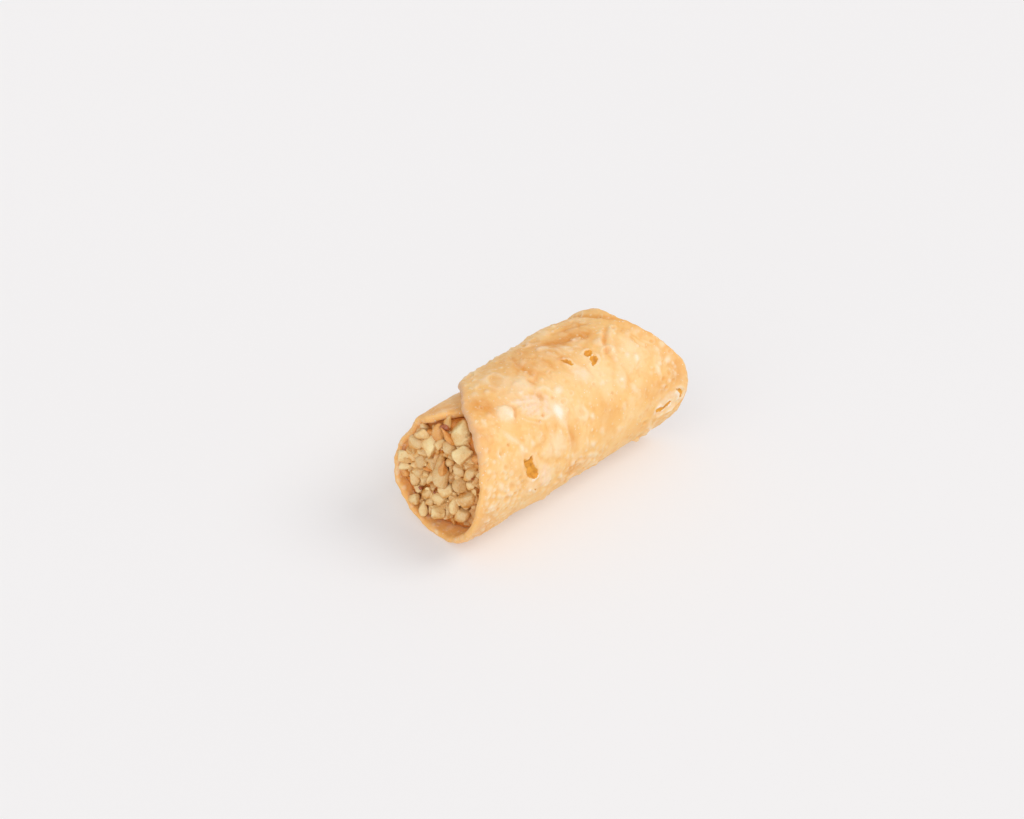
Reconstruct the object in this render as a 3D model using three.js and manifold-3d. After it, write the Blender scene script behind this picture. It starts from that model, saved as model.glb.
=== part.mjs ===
// A cannoli lying on its side: a round sheet of fried dough rolled up until it overlaps itself, packed
// with a sweet filling that is pressed into chopped nuts at both open ends.
//
// Millimetres, +Z up. The roll runs along X and its front mouth opens towards -X. Turns round the roll
// are degrees from the top, first towards +Y, then under the roll and up the -Y side. The sheet makes
// more than one turn: its start lies under the flap that its end makes on top. The roll rests on a
// narrow flat along its underside at z = 0. It is built round its own axis, at y = 0, and is moved
// over the origin at the end.
import * as THREE from 'three';
import { mergeVertices } from 'three/addons/utils/BufferGeometryUtils.js';
import Module from 'manifold-3d';

const wasm = await Module();
wasm.setup();

// ---- driving dimensions -----------------------------------------------------------------------

const axisHeight = 20.35; // the roll's middle above the surface that it rests on
const doughThickness = 2.1;
const rimThickness = 1.5; // the dough thins towards every edge of the sheet
const rimReach = 4; // how far from an edge the thinning starts
const wrapStart = -22;
const wrapEnd = 418;

// Outer radius of the roll at a turn: the first layer is pressed in where the flap lies over it.
const rollRadius = curveThrough([
  [wrapStart, 17.9],
  [20, 18.4],
  [45, 18.9],
  [70, 19.3],
  [135, 20.3],
  [180, 20.6],
  [330, 20.6],
  [360, 20.9],
  [395, 21.3],
  [wrapEnd, 21.4],
]);

// Where the sheet's edge stands along the roll at a turn, at the front mouth and at the back mouth. The
// sheet was cut round, so it is longest half way round and runs in towards its start and its end.
const frontEdge = curveThrough([
  [wrapStart, -20],
  [0, -27],
  [20, -33.5],
  [45, -33.4],
  [80, -34.2],
  [120, -36.6],
  [190, -37.6],
  [225, -41.4],
  [250, -42.8],
  [280, -40.4],
  [320, -34.3],
  [355, -28.5],
  [375, -22.5],
  [400, -16],
  [wrapEnd, -4],
]);
const backEdge = curveThrough([
  [wrapStart, 33],
  [0, 40],
  [20, 43.5],
  [60, 43],
  [180, 42],
  [215, 46],
  [240, 49.5],
  [265, 51.3],
  [300, 50],
  [335, 43],
  [355, 41],
  [380, 41],
  [400, 38.5],
  [wrapEnd, 30],
]);

// Swells and hollows of the whole roll, shared by both layers where they overlap.
const rollSwells = [
  { along: 21, turn: 12, reachAlong: 8, reachRound: 6, rise: -0.9 },
  { along: -40, turn: 222, reachAlong: 5, reachRound: 8, rise: -1.1 },
  { along: 36, turn: 335, reachAlong: 8, reachRound: 10, rise: 0.9 },
  { along: 43, turn: 25, reachAlong: 6, reachRound: 12, rise: 0.6 },
  { along: 46, turn: 272, reachAlong: 8, reachRound: 14, rise: 0.7 },
  { along: -6, turn: 318, reachAlong: 9, reachRound: 8, rise: 0.5 },
  { along: 14, turn: 300, reachAlong: 9, reachRound: 7, rise: -0.4 },
  { along: 8, turn: 95, reachAlong: 14, reachRound: 10, rise: 0.6 },
];

// Where the flap alone stands off the layer below it.
const flapSwells = [
  { along: 23, turn: 405, reachAlong: 11, reachRound: 7, rise: 1.8 },
  { along: 3, turn: 404, reachAlong: 9, reachRound: 8, rise: 0.8 },
  { along: 41, turn: 385, reachAlong: 5, reachRound: 10, rise: 0.4 },
];

// Marks on the outer skin that are large enough to stand out: burst blisters, torn pits and bubbles.
const skinMarks = [
  { along: -19.2, turn: 281, reachAlong: 1.7, reachRound: 3, rise: -0.8 },
  { along: 20.4, turn: 337, reachAlong: 2.2, reachRound: 2.6, rise: -0.8 },
  { along: 12.3, turn: 344, reachAlong: 2.4, reachRound: 1.3, rise: -0.6 },
  { along: 42.3, turn: 265, reachAlong: 4.6, reachRound: 3.4, rise: 0.6 },
  { along: -18, turn: 332, reachAlong: 3.6, reachRound: 3, rise: 0.6 },
  { along: -2, turn: 310, reachAlong: 2.8, reachRound: 3.6, rise: 0.6 },
  { along: -11.6, turn: 360, reachAlong: 2.8, reachRound: 2.6, rise: -0.5 },
  { along: 0.7, turn: 365, reachAlong: 4.6, reachRound: 1.8, rise: 0.6 },
  { along: 5.9, turn: 301, reachAlong: 2.4, reachRound: 2.6, rise: 0.4 },
];

// Small blisters strewn over the skin.
const blisters = {
  count: 90,
  seed: 4,
  firstTurn: 66,
  lastTurn: 398,
  smallest: 2.2,
  largest: 4.4,
  lowest: 0.18,
  highest: 0.42,
};
const undersideTurn = 180;
const undersideReach = 26; // degrees on each side of the underside that stay smooth to rest on

// How finely the sheet is faceted: stations round the roll, and steps along each face between edges.
const sheetSteps = { round: 84, outside: 30, inside: 8 };

// The filling, and the chopped nuts that its two faces were pressed into.
const fillingGap = 0.5; // between the filling and the dough round it
const startEdgeEase = 14; // degrees over which the filling draws in before the sheet's start
const fillingSteps = { round: 44, along: 8, face: 3 };
// A mouth's face of filling: where its middle stands along the roll, how far it leans out for each
// millimetre towards +Y, and how far it draws back for each millimetre above a height.
const frontFill = { along: -32.8, out: -1, side: 0.12, drawFrom: 26, draw: 0.1, seed: 61 };
const backFill = { along: 37.2, out: 1, side: -0.05, drawFrom: 26, draw: 0.1, seed: 62 };
const faceDome = 0.002; // how much further in the filling stands for each square millimetre off centre
const nuts = { perMouth: 50, smallest: 2.2, largest: 3.3, jitter: 0.2, flattest: 0.7, sunk: 0.12 };
const finestFacet = 0.06; // where nuts fuse, facets finer than this are joined with their neighbours
const goldenTurn = 137.5;

// ---- helpers ----------------------------------------------------------------------------------

// A smooth curve of one value through a few named points.
function curveThrough(points) {
  const slopes = points.map((point, i) => {
    const before = points[Math.max(i - 1, 0)];
    const after = points[Math.min(i + 1, points.length - 1)];
    return (after[1] - before[1]) / (after[0] - before[0]);
  });
  return (place) => {
    let i = 0;
    while (i < points.length - 2 && place > points[i + 1][0]) i += 1;
    const span = points[i + 1][0] - points[i][0];
    const t = THREE.MathUtils.clamp((place - points[i][0]) / span, 0, 1);
    const ease = t * t * (3 - 2 * t);
    const leave = t * (1 - t) * (1 - t) * slopes[i] * span;
    const arrive = t * t * (1 - t) * slopes[i + 1] * span;
    return points[i][1] * (1 - ease) + points[i + 1][1] * ease + leave - arrive;
  };
}

function randomBetween(low, high) {
  return THREE.MathUtils.lerp(low, high, THREE.MathUtils.seededRandom());
}

// Degrees between two turns, the short way round.
function turnBetween(a, b) {
  return THREE.MathUtils.euclideanModulo(a - b + 180, 360) - 180;
}

// Height of a list of bumps at a place on the roll.
function bumpHeight(bumps, along, turn, difference) {
  let height = 0;
  for (const bump of bumps) {
    const u = (along - bump.along) / bump.reachAlong;
    const arc = THREE.MathUtils.degToRad(difference(turn, bump.turn)) * axisHeight;
    const v = arc / bump.reachRound;
    height += bump.rise * Math.exp(-u * u - v * v);
  }
  return height;
}

function onRoll(along, turn, radius) {
  const angle = THREE.MathUtils.degToRad(turn);
  return new THREE.Vector3(along, radius * Math.sin(angle), axisHeight + radius * Math.cos(angle));
}

function geometryOf(points, faces) {
  const geometry = new THREE.BufferGeometry();
  geometry.setAttribute('position', new THREE.Float32BufferAttribute(points.flatMap((p) => p.toArray()), 3));
  geometry.setIndex(faces);
  geometry.computeVertexNormals();
  return geometry;
}

// Two triangles for each cell between neighbouring closed loops of the same length.
function joinLoops(faces, first, second, length) {
  for (let k = 0; k < length; k += 1) {
    const next = (k + 1) % length;
    faces.push(first + k, second + next, second + k);
    faces.push(first + k, first + next, second + next);
  }
}

// ---- the rolled sheet of dough ----------------------------------------------------------------

function strewBlisters() {
  THREE.MathUtils.seededRandom(blisters.seed);
  const list = [];
  while (list.length < blisters.count) {
    const turn = randomBetween(blisters.firstTurn, blisters.lastTurn);
    const share = randomBetween(0.03, 0.97);
    const reach = randomBetween(blisters.smallest, blisters.largest);
    list.push({
      along: THREE.MathUtils.lerp(frontEdge(turn), backEdge(turn), share),
      turn,
      reachAlong: reach,
      reachRound: reach * randomBetween(0.7, 1),
      rise: randomBetween(blisters.lowest, blisters.highest),
    });
  }
  return list;
}

const skinBumps = [...skinMarks, ...strewBlisters()];
const straightDifference = (a, b) => a - b;

// Outer radius of the sheet before its skin blistered: both of its faces follow it.
function sheetRadius(along, turn) {
  const whole = bumpHeight(rollSwells, along, turn, turnBetween);
  const flap = bumpHeight(flapSwells, along, turn, straightDifference);
  return rollRadius(turn) + whole + flap;
}

function thicknessAt(along, turn) {
  const fromFront = along - frontEdge(turn);
  const fromBack = backEdge(turn) - along;
  const fromStart = THREE.MathUtils.degToRad(turn - wrapStart) * axisHeight;
  const fromEnd = THREE.MathUtils.degToRad(wrapEnd - turn) * axisHeight;
  const fromEdge = Math.min(fromFront, fromBack, fromStart, fromEnd);
  const share = THREE.MathUtils.smoothstep(fromEdge, 0, rimReach);
  return THREE.MathUtils.lerp(rimThickness, doughThickness, share);
}

function outsidePoint(along, turn) {
  const besideUnderside = Math.abs(turn - undersideTurn);
  const blistering = THREE.MathUtils.smoothstep(besideUnderside, undersideReach / 2, undersideReach);
  const skin = blistering * bumpHeight(skinBumps, along, turn, straightDifference);
  const point = onRoll(along, turn, sheetRadius(along, turn) + skin);
  point.z = Math.max(point.z, 0);
  return point;
}

function insidePoint(along, turn) {
  return onRoll(along, turn, sheetRadius(along, turn) - thicknessAt(along, turn));
}

// One station of the sheet: out along its outer face, round the back rim, home along its inner face.
function sheetSection(turn) {
  const front = frontEdge(turn);
  const back = backEdge(turn);
  const section = [];
  for (let i = 0; i <= sheetSteps.outside; i += 1) {
    const along = THREE.MathUtils.lerp(front, back, i / sheetSteps.outside);
    section.push(outsidePoint(along, turn));
  }
  for (let i = sheetSteps.inside; i >= 0; i -= 1) {
    const along = THREE.MathUtils.lerp(front, back, i / sheetSteps.inside);
    section.push(insidePoint(along, turn));
  }
  return section;
}

// Closes one end of the sheet between its outer and its inner points, walking both rows together.
function closeSheetEnd(faces, base, facesBack) {
  const { outside, inside } = sheetSteps;
  const innerBase = base + outside + 1 + inside;
  let i = 0;
  let k = 0;
  while (i < outside || k < inside) {
    const outerNext = k === inside || (i < outside && (i + 1) / outside <= (k + 1) / inside);
    const corners = outerNext
      ? [base + i, base + i + 1, innerBase - k]
      : [base + i, innerBase - k - 1, innerBase - k];
    faces.push(...(facesBack ? corners.reverse() : corners));
    i += outerNext ? 1 : 0;
    k += outerNext ? 0 : 1;
  }
}

function makeShell() {
  const points = [];
  const faces = [];
  for (let j = 0; j <= sheetSteps.round; j += 1) {
    const turn = THREE.MathUtils.lerp(wrapStart, wrapEnd, j / sheetSteps.round);
    points.push(...sheetSection(turn));
  }
  const length = sheetSteps.outside + sheetSteps.inside + 2;
  for (let j = 0; j < sheetSteps.round; j += 1) {
    joinLoops(faces, j * length, (j + 1) * length, length);
  }
  closeSheetEnd(faces, 0, true);
  closeSheetEnd(faces, sheetSteps.round * length, false);
  const fried = new THREE.MeshStandardMaterial({ color: 0xf5c98b, roughness: 0.62, metalness: 0 });
  const shell = new THREE.Mesh(geometryOf(points, faces), fried);
  shell.name = 'shell';
  return shell;
}

// ---- the filling and its chopped nuts ---------------------------------------------------------

// Radius that is free inside the roll: under the flap the sheet's start stands further in.
function freeRadius(along, turn) {
  const wrapped = THREE.MathUtils.euclideanModulo(turn, 360);
  const insideOf = (at) => sheetRadius(along, at) - doughThickness;
  const wide = wrapped < wrapStart + 360 ? insideOf(wrapped) : insideOf(wrapped - 360);
  const toStart = wrapStart + 360 - wrapped;
  const underStart = insideOf(wrapStart);
  const drawn = THREE.MathUtils.smoothstep(toStart, 0, startEdgeEase);
  const radius = toStart > 0 ? THREE.MathUtils.lerp(Math.min(underStart, wide), wide, drawn) : wide;
  return radius - fillingGap;
}

// How far along the roll a mouth's filling stands at a place across it.
function fillAlong(mouth, point) {
  const height = point.z - axisHeight;
  const inward = faceDome * (point.y * point.y + height * height) - mouth.side * point.y;
  const drawn = mouth.draw * Math.max(0, point.z - mouth.drawFrom);
  return mouth.along - mouth.out * (inward + drawn);
}

function makeCore() {
  const points = [];
  const faces = [];
  const { round, along, face } = fillingSteps;
  const rings = [];
  for (let i = 1; i < face; i += 1) rings.push({ mouth: frontFill, share: i / face });
  for (let i = 0; i <= along; i += 1) rings.push({ share: 1, between: i / along });
  for (let i = face - 1; i > 0; i -= 1) rings.push({ mouth: backFill, share: i / face });

  points.push(new THREE.Vector3(frontFill.along, 0, axisHeight));
  for (const ring of rings) {
    for (let k = 0; k < round; k += 1) {
      const turn = (360 * k) / round;
      const middle = THREE.MathUtils.lerp(frontFill.along, backFill.along, ring.between ?? 0.5);
      const nearMouth = ring.mouth ? ring.mouth.along : middle;
      const point = onRoll(nearMouth, turn, ring.share * freeRadius(nearMouth, turn));
      if (ring.mouth) {
        point.x = fillAlong(ring.mouth, point);
      } else {
        point.x = THREE.MathUtils.lerp(fillAlong(frontFill, point), fillAlong(backFill, point), ring.between);
      }
      points.push(point);
    }
  }
  points.push(new THREE.Vector3(backFill.along, 0, axisHeight));

  const last = points.length - 1;
  for (let k = 0; k < round; k += 1) {
    const next = (k + 1) % round;
    faces.push(0, 1 + k, 1 + next);
    faces.push(last, last - round + next, last - round + k);
  }
  for (let j = 0; j < rings.length - 1; j += 1) {
    joinLoops(faces, 1 + (j + 1) * round, 1 + j * round, round);
  }
  return geometryOf(points, faces);
}

// One chopped bit of nut: a small solid with uneven corners, broader than it is thick.
function makeNut(size, chunky) {
  const base = chunky ? new THREE.DodecahedronGeometry(1, 0) : new THREE.IcosahedronGeometry(1, 0);
  base.deleteAttribute('normal');
  base.deleteAttribute('uv');
  const nut = mergeVertices(base, 1e-3);
  const corners = nut.getAttribute('position');
  const corner = new THREE.Vector3();
  for (let i = 0; i < corners.count; i += 1) {
    corner.fromBufferAttribute(corners, i);
    corner.multiplyScalar(size * randomBetween(1 - nuts.jitter, 1));
    corners.setXYZ(i, corner.x, corner.y, corner.z);
  }
  nut.scale(randomBetween(nuts.flattest, 1), randomBetween(0.8, 1), 1);
  nut.rotateX(randomBetween(0, 2 * Math.PI));
  nut.rotateY(randomBetween(0, 2 * Math.PI));
  nut.rotateZ(randomBetween(0, 2 * Math.PI));
  return nut;
}

// Nuts spread evenly over one mouth, the way seeds sit in a sunflower, each sunk into the filling.
function nutsOnMouth(mouth) {
  THREE.MathUtils.seededRandom(mouth.seed);
  const list = [];
  for (let i = 0; i < nuts.perMouth; i += 1) {
    const turn = i * goldenTurn + randomBetween(-6, 6);
    const size = randomBetween(nuts.smallest, nuts.largest);
    const reach = Math.min(...[-8, 0, 8].map((off) => freeRadius(mouth.along, turn + off))) - size;
    const share = Math.sqrt((i + 0.5) / nuts.perMouth);
    const point = onRoll(0, turn, reach * share);
    const sunk = size * nuts.sunk * randomBetween(-1, 1);
    const nut = makeNut(size, size > (nuts.smallest + nuts.largest) / 2);
    nut.translate(fillAlong(mouth, point) + mouth.out * sunk, point.y, point.z);
    list.push(nut);
  }
  return list;
}

function solidOf(geometry) {
  const merged = mergeVertices(geometry.clone().deleteAttribute('normal'), 1e-4);
  const vertProperties = new Float32Array(merged.getAttribute('position').array);
  const triVerts = new Uint32Array(merged.getIndex().array);
  return new wasm.Manifold(new wasm.Mesh({ numProp: 3, vertProperties, triVerts }));
}

function geometryOfSolid(solid) {
  const mesh = solid.getMesh();
  const geometry = new THREE.BufferGeometry();
  geometry.setAttribute('position', new THREE.BufferAttribute(mesh.vertProperties, 3));
  geometry.setIndex(new THREE.BufferAttribute(mesh.triVerts, 1));
  geometry.computeVertexNormals();
  return geometry;
}

function makeFilling() {
  let heap = solidOf(makeCore());
  for (const nut of [...nutsOnMouth(frontFill), ...nutsOnMouth(backFill)]) {
    heap = heap.add(solidOf(nut));
  }
  // Only the outer skin is kept, so that no hollow stays sealed between nuts.
  const bySize = heap.asOriginal().simplify(finestFacet).decompose();
  bySize.sort((a, b) => b.volume() - a.volume());
  const filling = bySize[0];
  const nutty = new THREE.MeshStandardMaterial({ color: 0xe8cf9c, roughness: 0.5, metalness: 0 });
  const mesh = new THREE.Mesh(geometryOfSolid(filling), nutty);
  mesh.name = 'filling';
  return mesh;
}

// ---- the whole --------------------------------------------------------------------------------

const cannoli = new THREE.Group();
cannoli.add(makeShell());
cannoli.add(makeFilling());

// The origin is under the middle of the whole, on the surface that the roll rests on.
const middle = new THREE.Box3().setFromObject(cannoli).getCenter(new THREE.Vector3());
cannoli.position.set(-middle.x, -middle.y, 0);
cannoli.updateMatrixWorld(true);

export default cannoli;
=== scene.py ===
import math
import bpy
import numpy as np
from mathutils import Matrix, Vector


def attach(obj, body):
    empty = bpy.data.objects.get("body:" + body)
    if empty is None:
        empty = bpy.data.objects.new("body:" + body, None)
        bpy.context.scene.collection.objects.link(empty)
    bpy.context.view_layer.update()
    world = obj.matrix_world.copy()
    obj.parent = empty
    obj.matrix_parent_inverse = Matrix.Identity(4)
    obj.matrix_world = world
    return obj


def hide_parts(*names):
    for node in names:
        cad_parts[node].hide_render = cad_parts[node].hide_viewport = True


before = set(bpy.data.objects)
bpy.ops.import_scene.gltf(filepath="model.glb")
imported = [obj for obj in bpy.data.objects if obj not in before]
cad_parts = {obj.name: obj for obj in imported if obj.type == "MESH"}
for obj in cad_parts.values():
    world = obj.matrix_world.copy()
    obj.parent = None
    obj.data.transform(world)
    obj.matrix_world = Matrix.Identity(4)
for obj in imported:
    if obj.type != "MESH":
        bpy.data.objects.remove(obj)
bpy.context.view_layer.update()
print("frame loaded:", sorted(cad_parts))

# A cannoli on its side. All sizes below are millimetres and degrees; metres come in at the very end.
# A turn runs round the roll from the top towards +Y, under it and up again; arc is millimetres of dough.
mm = 0.001
tableSide = 64  # spots in a seeded table of noise, after which it repeats


def selectNothing():
    bpy.ops.object.select_all(action="DESELECT")


def selectOnly(piece):
    selectNothing()
    piece.select_set(True)
    bpy.context.view_layer.objects.active = piece


def startEditing(everything=True):
    bpy.ops.object.mode_set(mode="EDIT")
    if everything:
        bpy.ops.mesh.select_all(action="SELECT")


def stopEditing():
    bpy.ops.object.mode_set(mode="OBJECT")


def pointsOf(mesh):
    flat = np.empty(len(mesh.vertices) * 3)
    mesh.vertices.foreach_get("co", flat)
    return flat.reshape(-1, 3)


def movePoints(mesh, points):
    mesh.vertices.foreach_set("co", np.ascontiguousarray(points).ravel())
    mesh.update()


def storeOnPoints(mesh, name, values, kind="FLOAT"):
    layer = mesh.attributes.new(name, kind, "POINT")
    field = "vector" if kind == "FLOAT_VECTOR" else "value"
    layer.data.foreach_set(field, np.ascontiguousarray(values).ravel())


def smoothStep(value, low, high):
    t = np.clip((value - low) / (high - low), 0, 1)
    return t * t * (3 - 2 * t)


def bell(distance, reach):  # 1 at nought, fading softly on both sides
    return np.exp(-(distance / reach) ** 2)


def curveThrough(points):  # one smooth value through a few named places
    at, value = np.array(points, float).T
    before = np.maximum(np.arange(len(at)) - 1, 0)
    after = np.minimum(np.arange(len(at)) + 1, len(at) - 1)
    slope = (value[after] - value[before]) / (at[after] - at[before])

    def read(place):
        place = np.asarray(place, float)
        i = np.clip(np.searchsorted(at, place) - 1, 0, len(at) - 2)
        span = at[i + 1] - at[i]
        t = np.clip((place - at[i]) / span, 0, 1)
        ease = t * t * (3 - 2 * t)
        leave = t * (1 - t) ** 2 * slope[i] * span
        arrive = t * t * (1 - t) * slope[i + 1] * span
        return value[i] * (1 - ease) + value[i + 1] * ease + leave - arrive

    return read


def cellPattern(x, y, cell, seed):  # seeded cells: how far the two nearest spots are, and a value
    table = np.random.default_rng(seed).uniform(0, 1, (tableSide, tableSide, 3))
    u, v = x / cell, y / cell
    i, j = np.floor(u).astype(int), np.floor(v).astype(int)
    nearest, second, value = np.full(u.shape, 9.0), np.full(u.shape, 9.0), np.zeros(u.shape)
    for di in (-1, 0, 1):
        for dj in (-1, 0, 1):
            spot = table[(i + di) % tableSide, (j + dj) % tableSide]
            d = np.hypot(i + di + spot[:, 0] - u, j + dj + spot[:, 1] - v)
            closer = d < nearest
            second = np.where(closer, nearest, np.minimum(second, d))
            value = np.where(closer, spot[:, 2], value)
            nearest = np.minimum(nearest, d)
    return nearest, second, value


def softNoise(x, y, cell, seed):  # smooth seeded unevenness from -1 to 1
    table = np.random.default_rng(seed).uniform(-1, 1, (tableSide, tableSide))
    lean = seed * 0.7  # each layer of it is turned, so no grid shows
    u = (x * math.cos(lean) + y * math.sin(lean)) / cell
    v = (y * math.cos(lean) - x * math.sin(lean)) / cell
    i, j = np.floor(u).astype(int), np.floor(v).astype(int)
    s, t = smoothStep(u - i, 0, 1), smoothStep(v - j, 0, 1)
    i, j = i % tableSide, j % tableSide
    iNext, jNext = (i + 1) % tableSide, (j + 1) % tableSide
    near = table[i, j] * (1 - s) + table[iNext, j] * s
    far = table[i, jNext] * (1 - s) + table[iNext, jNext] * s
    return near * (1 - t) + far * t


def layeredNoise(layers, x, y, otherSeed=0):  # layers of it: size, height, seed
    return sum(height * softNoise(x, y, size, seed + otherSeed) for size, height, seed in layers)


# The roll, whose form crust and filling share.
roll = {
    "axisHeight": 20.35,
    "toFrame": (-4.2709, 0.9034, 0.0),  # from the roll's own axes to the middle of its box
    "doughThickness": 2.1,
    "rimThickness": 1.95,
    "rimReach": 4,
    "start": -22,
    "end": 418,
    "radius": [
        (-22, 17.9), (20, 18.4), (45, 18.9), (70, 19.3), (135, 20.3), (180, 20.6), (330, 20.6), (360, 20.9),
        (395, 21.3), (418, 21.4),
    ],
    "frontEdge": [
        (-22, -20), (0, -27), (20, -33.3), (45, -32.6), (80, -34.3), (120, -37.2), (190, -38.5),
        (225, -41.4), (250, -42.8), (280, -40.4), (320, -34.3), (355, -28.5), (375, -21.7), (400, -14.3),
        (418, -4.5),
    ],
    "backEdge": [
        (-22, 33), (0, 40), (20, 43.5), (60, 43), (180, 42), (215, 46), (240, 49.8), (268, 52.3),
        (285, 51.9), (302, 50.2), (335, 44), (355, 40.8), (380, 41), (400, 38.5), (418, 30),
    ],
    # along, turn, reach along, reach round, rise
    "swells": [
        (21, 12, 8, 6, -0.9), (-40, 222, 5, 8, -1.1), (36, 335, 8, 10, 0.9), (43, 25, 6, 12, 0.6),
        (46, 272, 8, 14, 0.7), (-6, 318, 9, 8, 0.5), (14, 300, 9, 7, -0.4), (8, 95, 14, 10, 0.6),
        (-34, 62, 6, 4.5, -1.5), (-37, 102, 5, 6, 0.7), (-34, 240, 7, 5, -0.45), (-20.6, 227, 4, 5, -0.65),
        (-9, 227, 3.5, 5, 0.45), (5, 227, 4, 5, -0.3),
    ],
    "flapSwells": [  # these stand on the outer layer alone
        (23.5, 405, 11, 7, 2.0), (3, 404, 9, 8, 0.8), (41, 385, 5, 10, 0.4), (44, 345, 3.5, 7, 0.45),
        (-9, 408, 6, 5, 0.5),
    ],
}
rollRadius = curveThrough(roll["radius"])
frontEdge = curveThrough(roll["frontEdge"])
backEdge = curveThrough(roll["backEdge"])


def arcOf(turn):
    return np.radians(turn) * roll["axisHeight"]


def sheetRadius(along, turn):
    radius = rollRadius(turn)
    for swells, onEveryLayer in ((roll["swells"], True), (roll["flapSwells"], False)):
        for at, swellTurn, reachAlong, reachRound, rise in swells:
            off = (turn - swellTurn + 180) % 360 - 180 if onEveryLayer else turn - swellTurn
            radius = radius + rise * bell(along - at, reachAlong) * bell(arcOf(off), reachRound)
    return radius


def onRoll(along, turn, radius):
    angle = np.radians(turn)
    return np.stack([along, radius * np.sin(angle), roll["axisHeight"] + radius * np.cos(angle)], axis=1)


def intoFrame(points):
    return (points + np.array(roll["toFrame"])) * mm


# What stands on the skin of the fried dough. Layers are size, height, seed.
skin = {
    "unevenness": [(11, 0.2, 3), (5.2, 0.12, 5), (2.3, 0.07, 8), (1.2, 0.05, 13)],
    # low cushions side by side: size, height, how pale their tops, how browned between them, seed
    "cushions": [(5.6, 0.2, 0.29, 0.2, 71), (3.0, 0.13, 0.23, 0.13, 72), (1.6, 0.06, 0.08, 0.04, 73)],
    "cushionDrift": [(4.4, 1.5, 81), (1.7, 0.45, 83)],  # how far their outlines wander
    "cushionsRound": 0.86,  # below 1 they are longer round the roll than along it
    "liveliness": (9, 91),  # size and seed of the places with more and with fewer cushions
    "crumple": [(0.95, 0.5, 31), (1.7, 0.5, 32)],
    "wobble": (1.6, 17),  # size and seed of what makes every outline waver
    "strewn": 300,
    "strewnSeed": 21,
    # three sizes of strewn blister, from and to, and their shares
    "strewnSizes": [(0.45, 0.8), (0.8, 1.35), (1.4, 2.2)],
    "strewnShares": [0.5, 0.38, 0.12],
    "kindShares": [0.66, 0.34],  # of domes and of rings
    "strewnTurns": (30, 417),
    "strewnStretch": (0.88, 1.25),
    "spacing": 0.85,  # how near two blisters may come, as a share of their sizes
    "clearOfTears": 4.4,  # half the room that a tear or a flake takes among them
    "triesEach": 20,
    "strewnRise": (0.2, 0.42),
    "strewnPale": (0.12, 0.7),
    "crowdedSizes": (0.55, 1.4),
    "crowdedSpread": 0.6,
    "crowdedPaler": 0.3,
    "drawn": 0.62,  # how much a blister is drawn out slantwise, as the dough was stretched round the tube
    "drawnAlong": 0.61,  # the slant, as shares along and round
    "drawnRound": 0.79,
    "drawnTurn": 46,
    "dome": {"edge": 1.15, "slope": 0.95},
    "ring": {"radius": 0.78, "wall": 0.27, "lopsided": 0.28, "sunk": 0.45, "sunkReach": 0.5},
    "tearEdge": {"curl": 0.24, "curlAt": 0.5, "curlReach": 0.42, "slope": 0.6},
    "tearPale": {"share": 0.6, "at": 0.42, "reach": 0.45},
    "farFromTears": 3.0,
    "blisterReach": 2.6,  # a blister's traces end this many half sizes from its middle
    # where small blisters crowd: along, turn, reach along, reach round, count
    "crowded": [
        (-30.5, 266, 6, 6, 46), (-17, 258, 5, 3, 18), (4, 252, 9, 4, 26), (-34, 284, 3, 8, 14),
        (44, 290, 4, 8, 14), (-36.5, 235, 4, 9, 26), (40, 245, 6, 4, 14),
    ],
    "undersideTurn": 180,  # it is smooth where it lies
    "undersideReach": 26,
}

# Burst blisters torn open to the amber layer below: outline as (along, turn), and how deep.
torn = [
    ([(-20.9, 292.2), (-19.9, 289.2), (-18.9, 289.3), (-18.4, 290.6), (-17.4, 290.8), (-17.9, 285.7),
      (-17.4, 280.2), (-16.5, 276.4), (-16.6, 272), (-18.1, 270.2), (-19.7, 273), (-21, 276.3),
      (-21.2, 280.4), (-20.6, 282.4), (-21.2, 286.8)], 0.95),
    ([(19.2, 342.7), (20.5, 343.8), (21.8, 343.2), (22.7, 341.9), (21.7, 339), (20.5, 337.3), (19.5, 337.7),
      (19.1, 340.1)], 0.75),
    ([(19.9, 336.7), (21.5, 336.4), (22.1, 333.7), (21.7, 331.4), (20.4, 329.9), (18.5, 328.6),
      (18.3, 330.1), (19.1, 331.9), (19.2, 335.2)], 0.45),
    ([(11.3, 348.2), (12.3, 347.4), (13.3, 344.9), (13.4, 342.1), (13.2, 338.6), (12.4, 338.8),
      (12.1, 341.6), (11.6, 345)], 0.7),
    ([(45.2, 274.2), (47.2, 273), (48.7, 268), (48.3, 263), (47.4, 262.2), (47.5, 266), (46.9, 269.6)],
      0.4),
    ([(36.9, 264), (38.4, 263.4), (40.6, 261.6), (42.9, 265.4), (44.1, 263.4), (42, 259.6), (39.4, 258),
      (37.3, 259.4)], 0.4),
    ([(-18.3, 260.6), (-16.9, 258.3), (-16.9, 256.2), (-17.8, 257.8)], 0.12),
]

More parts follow.
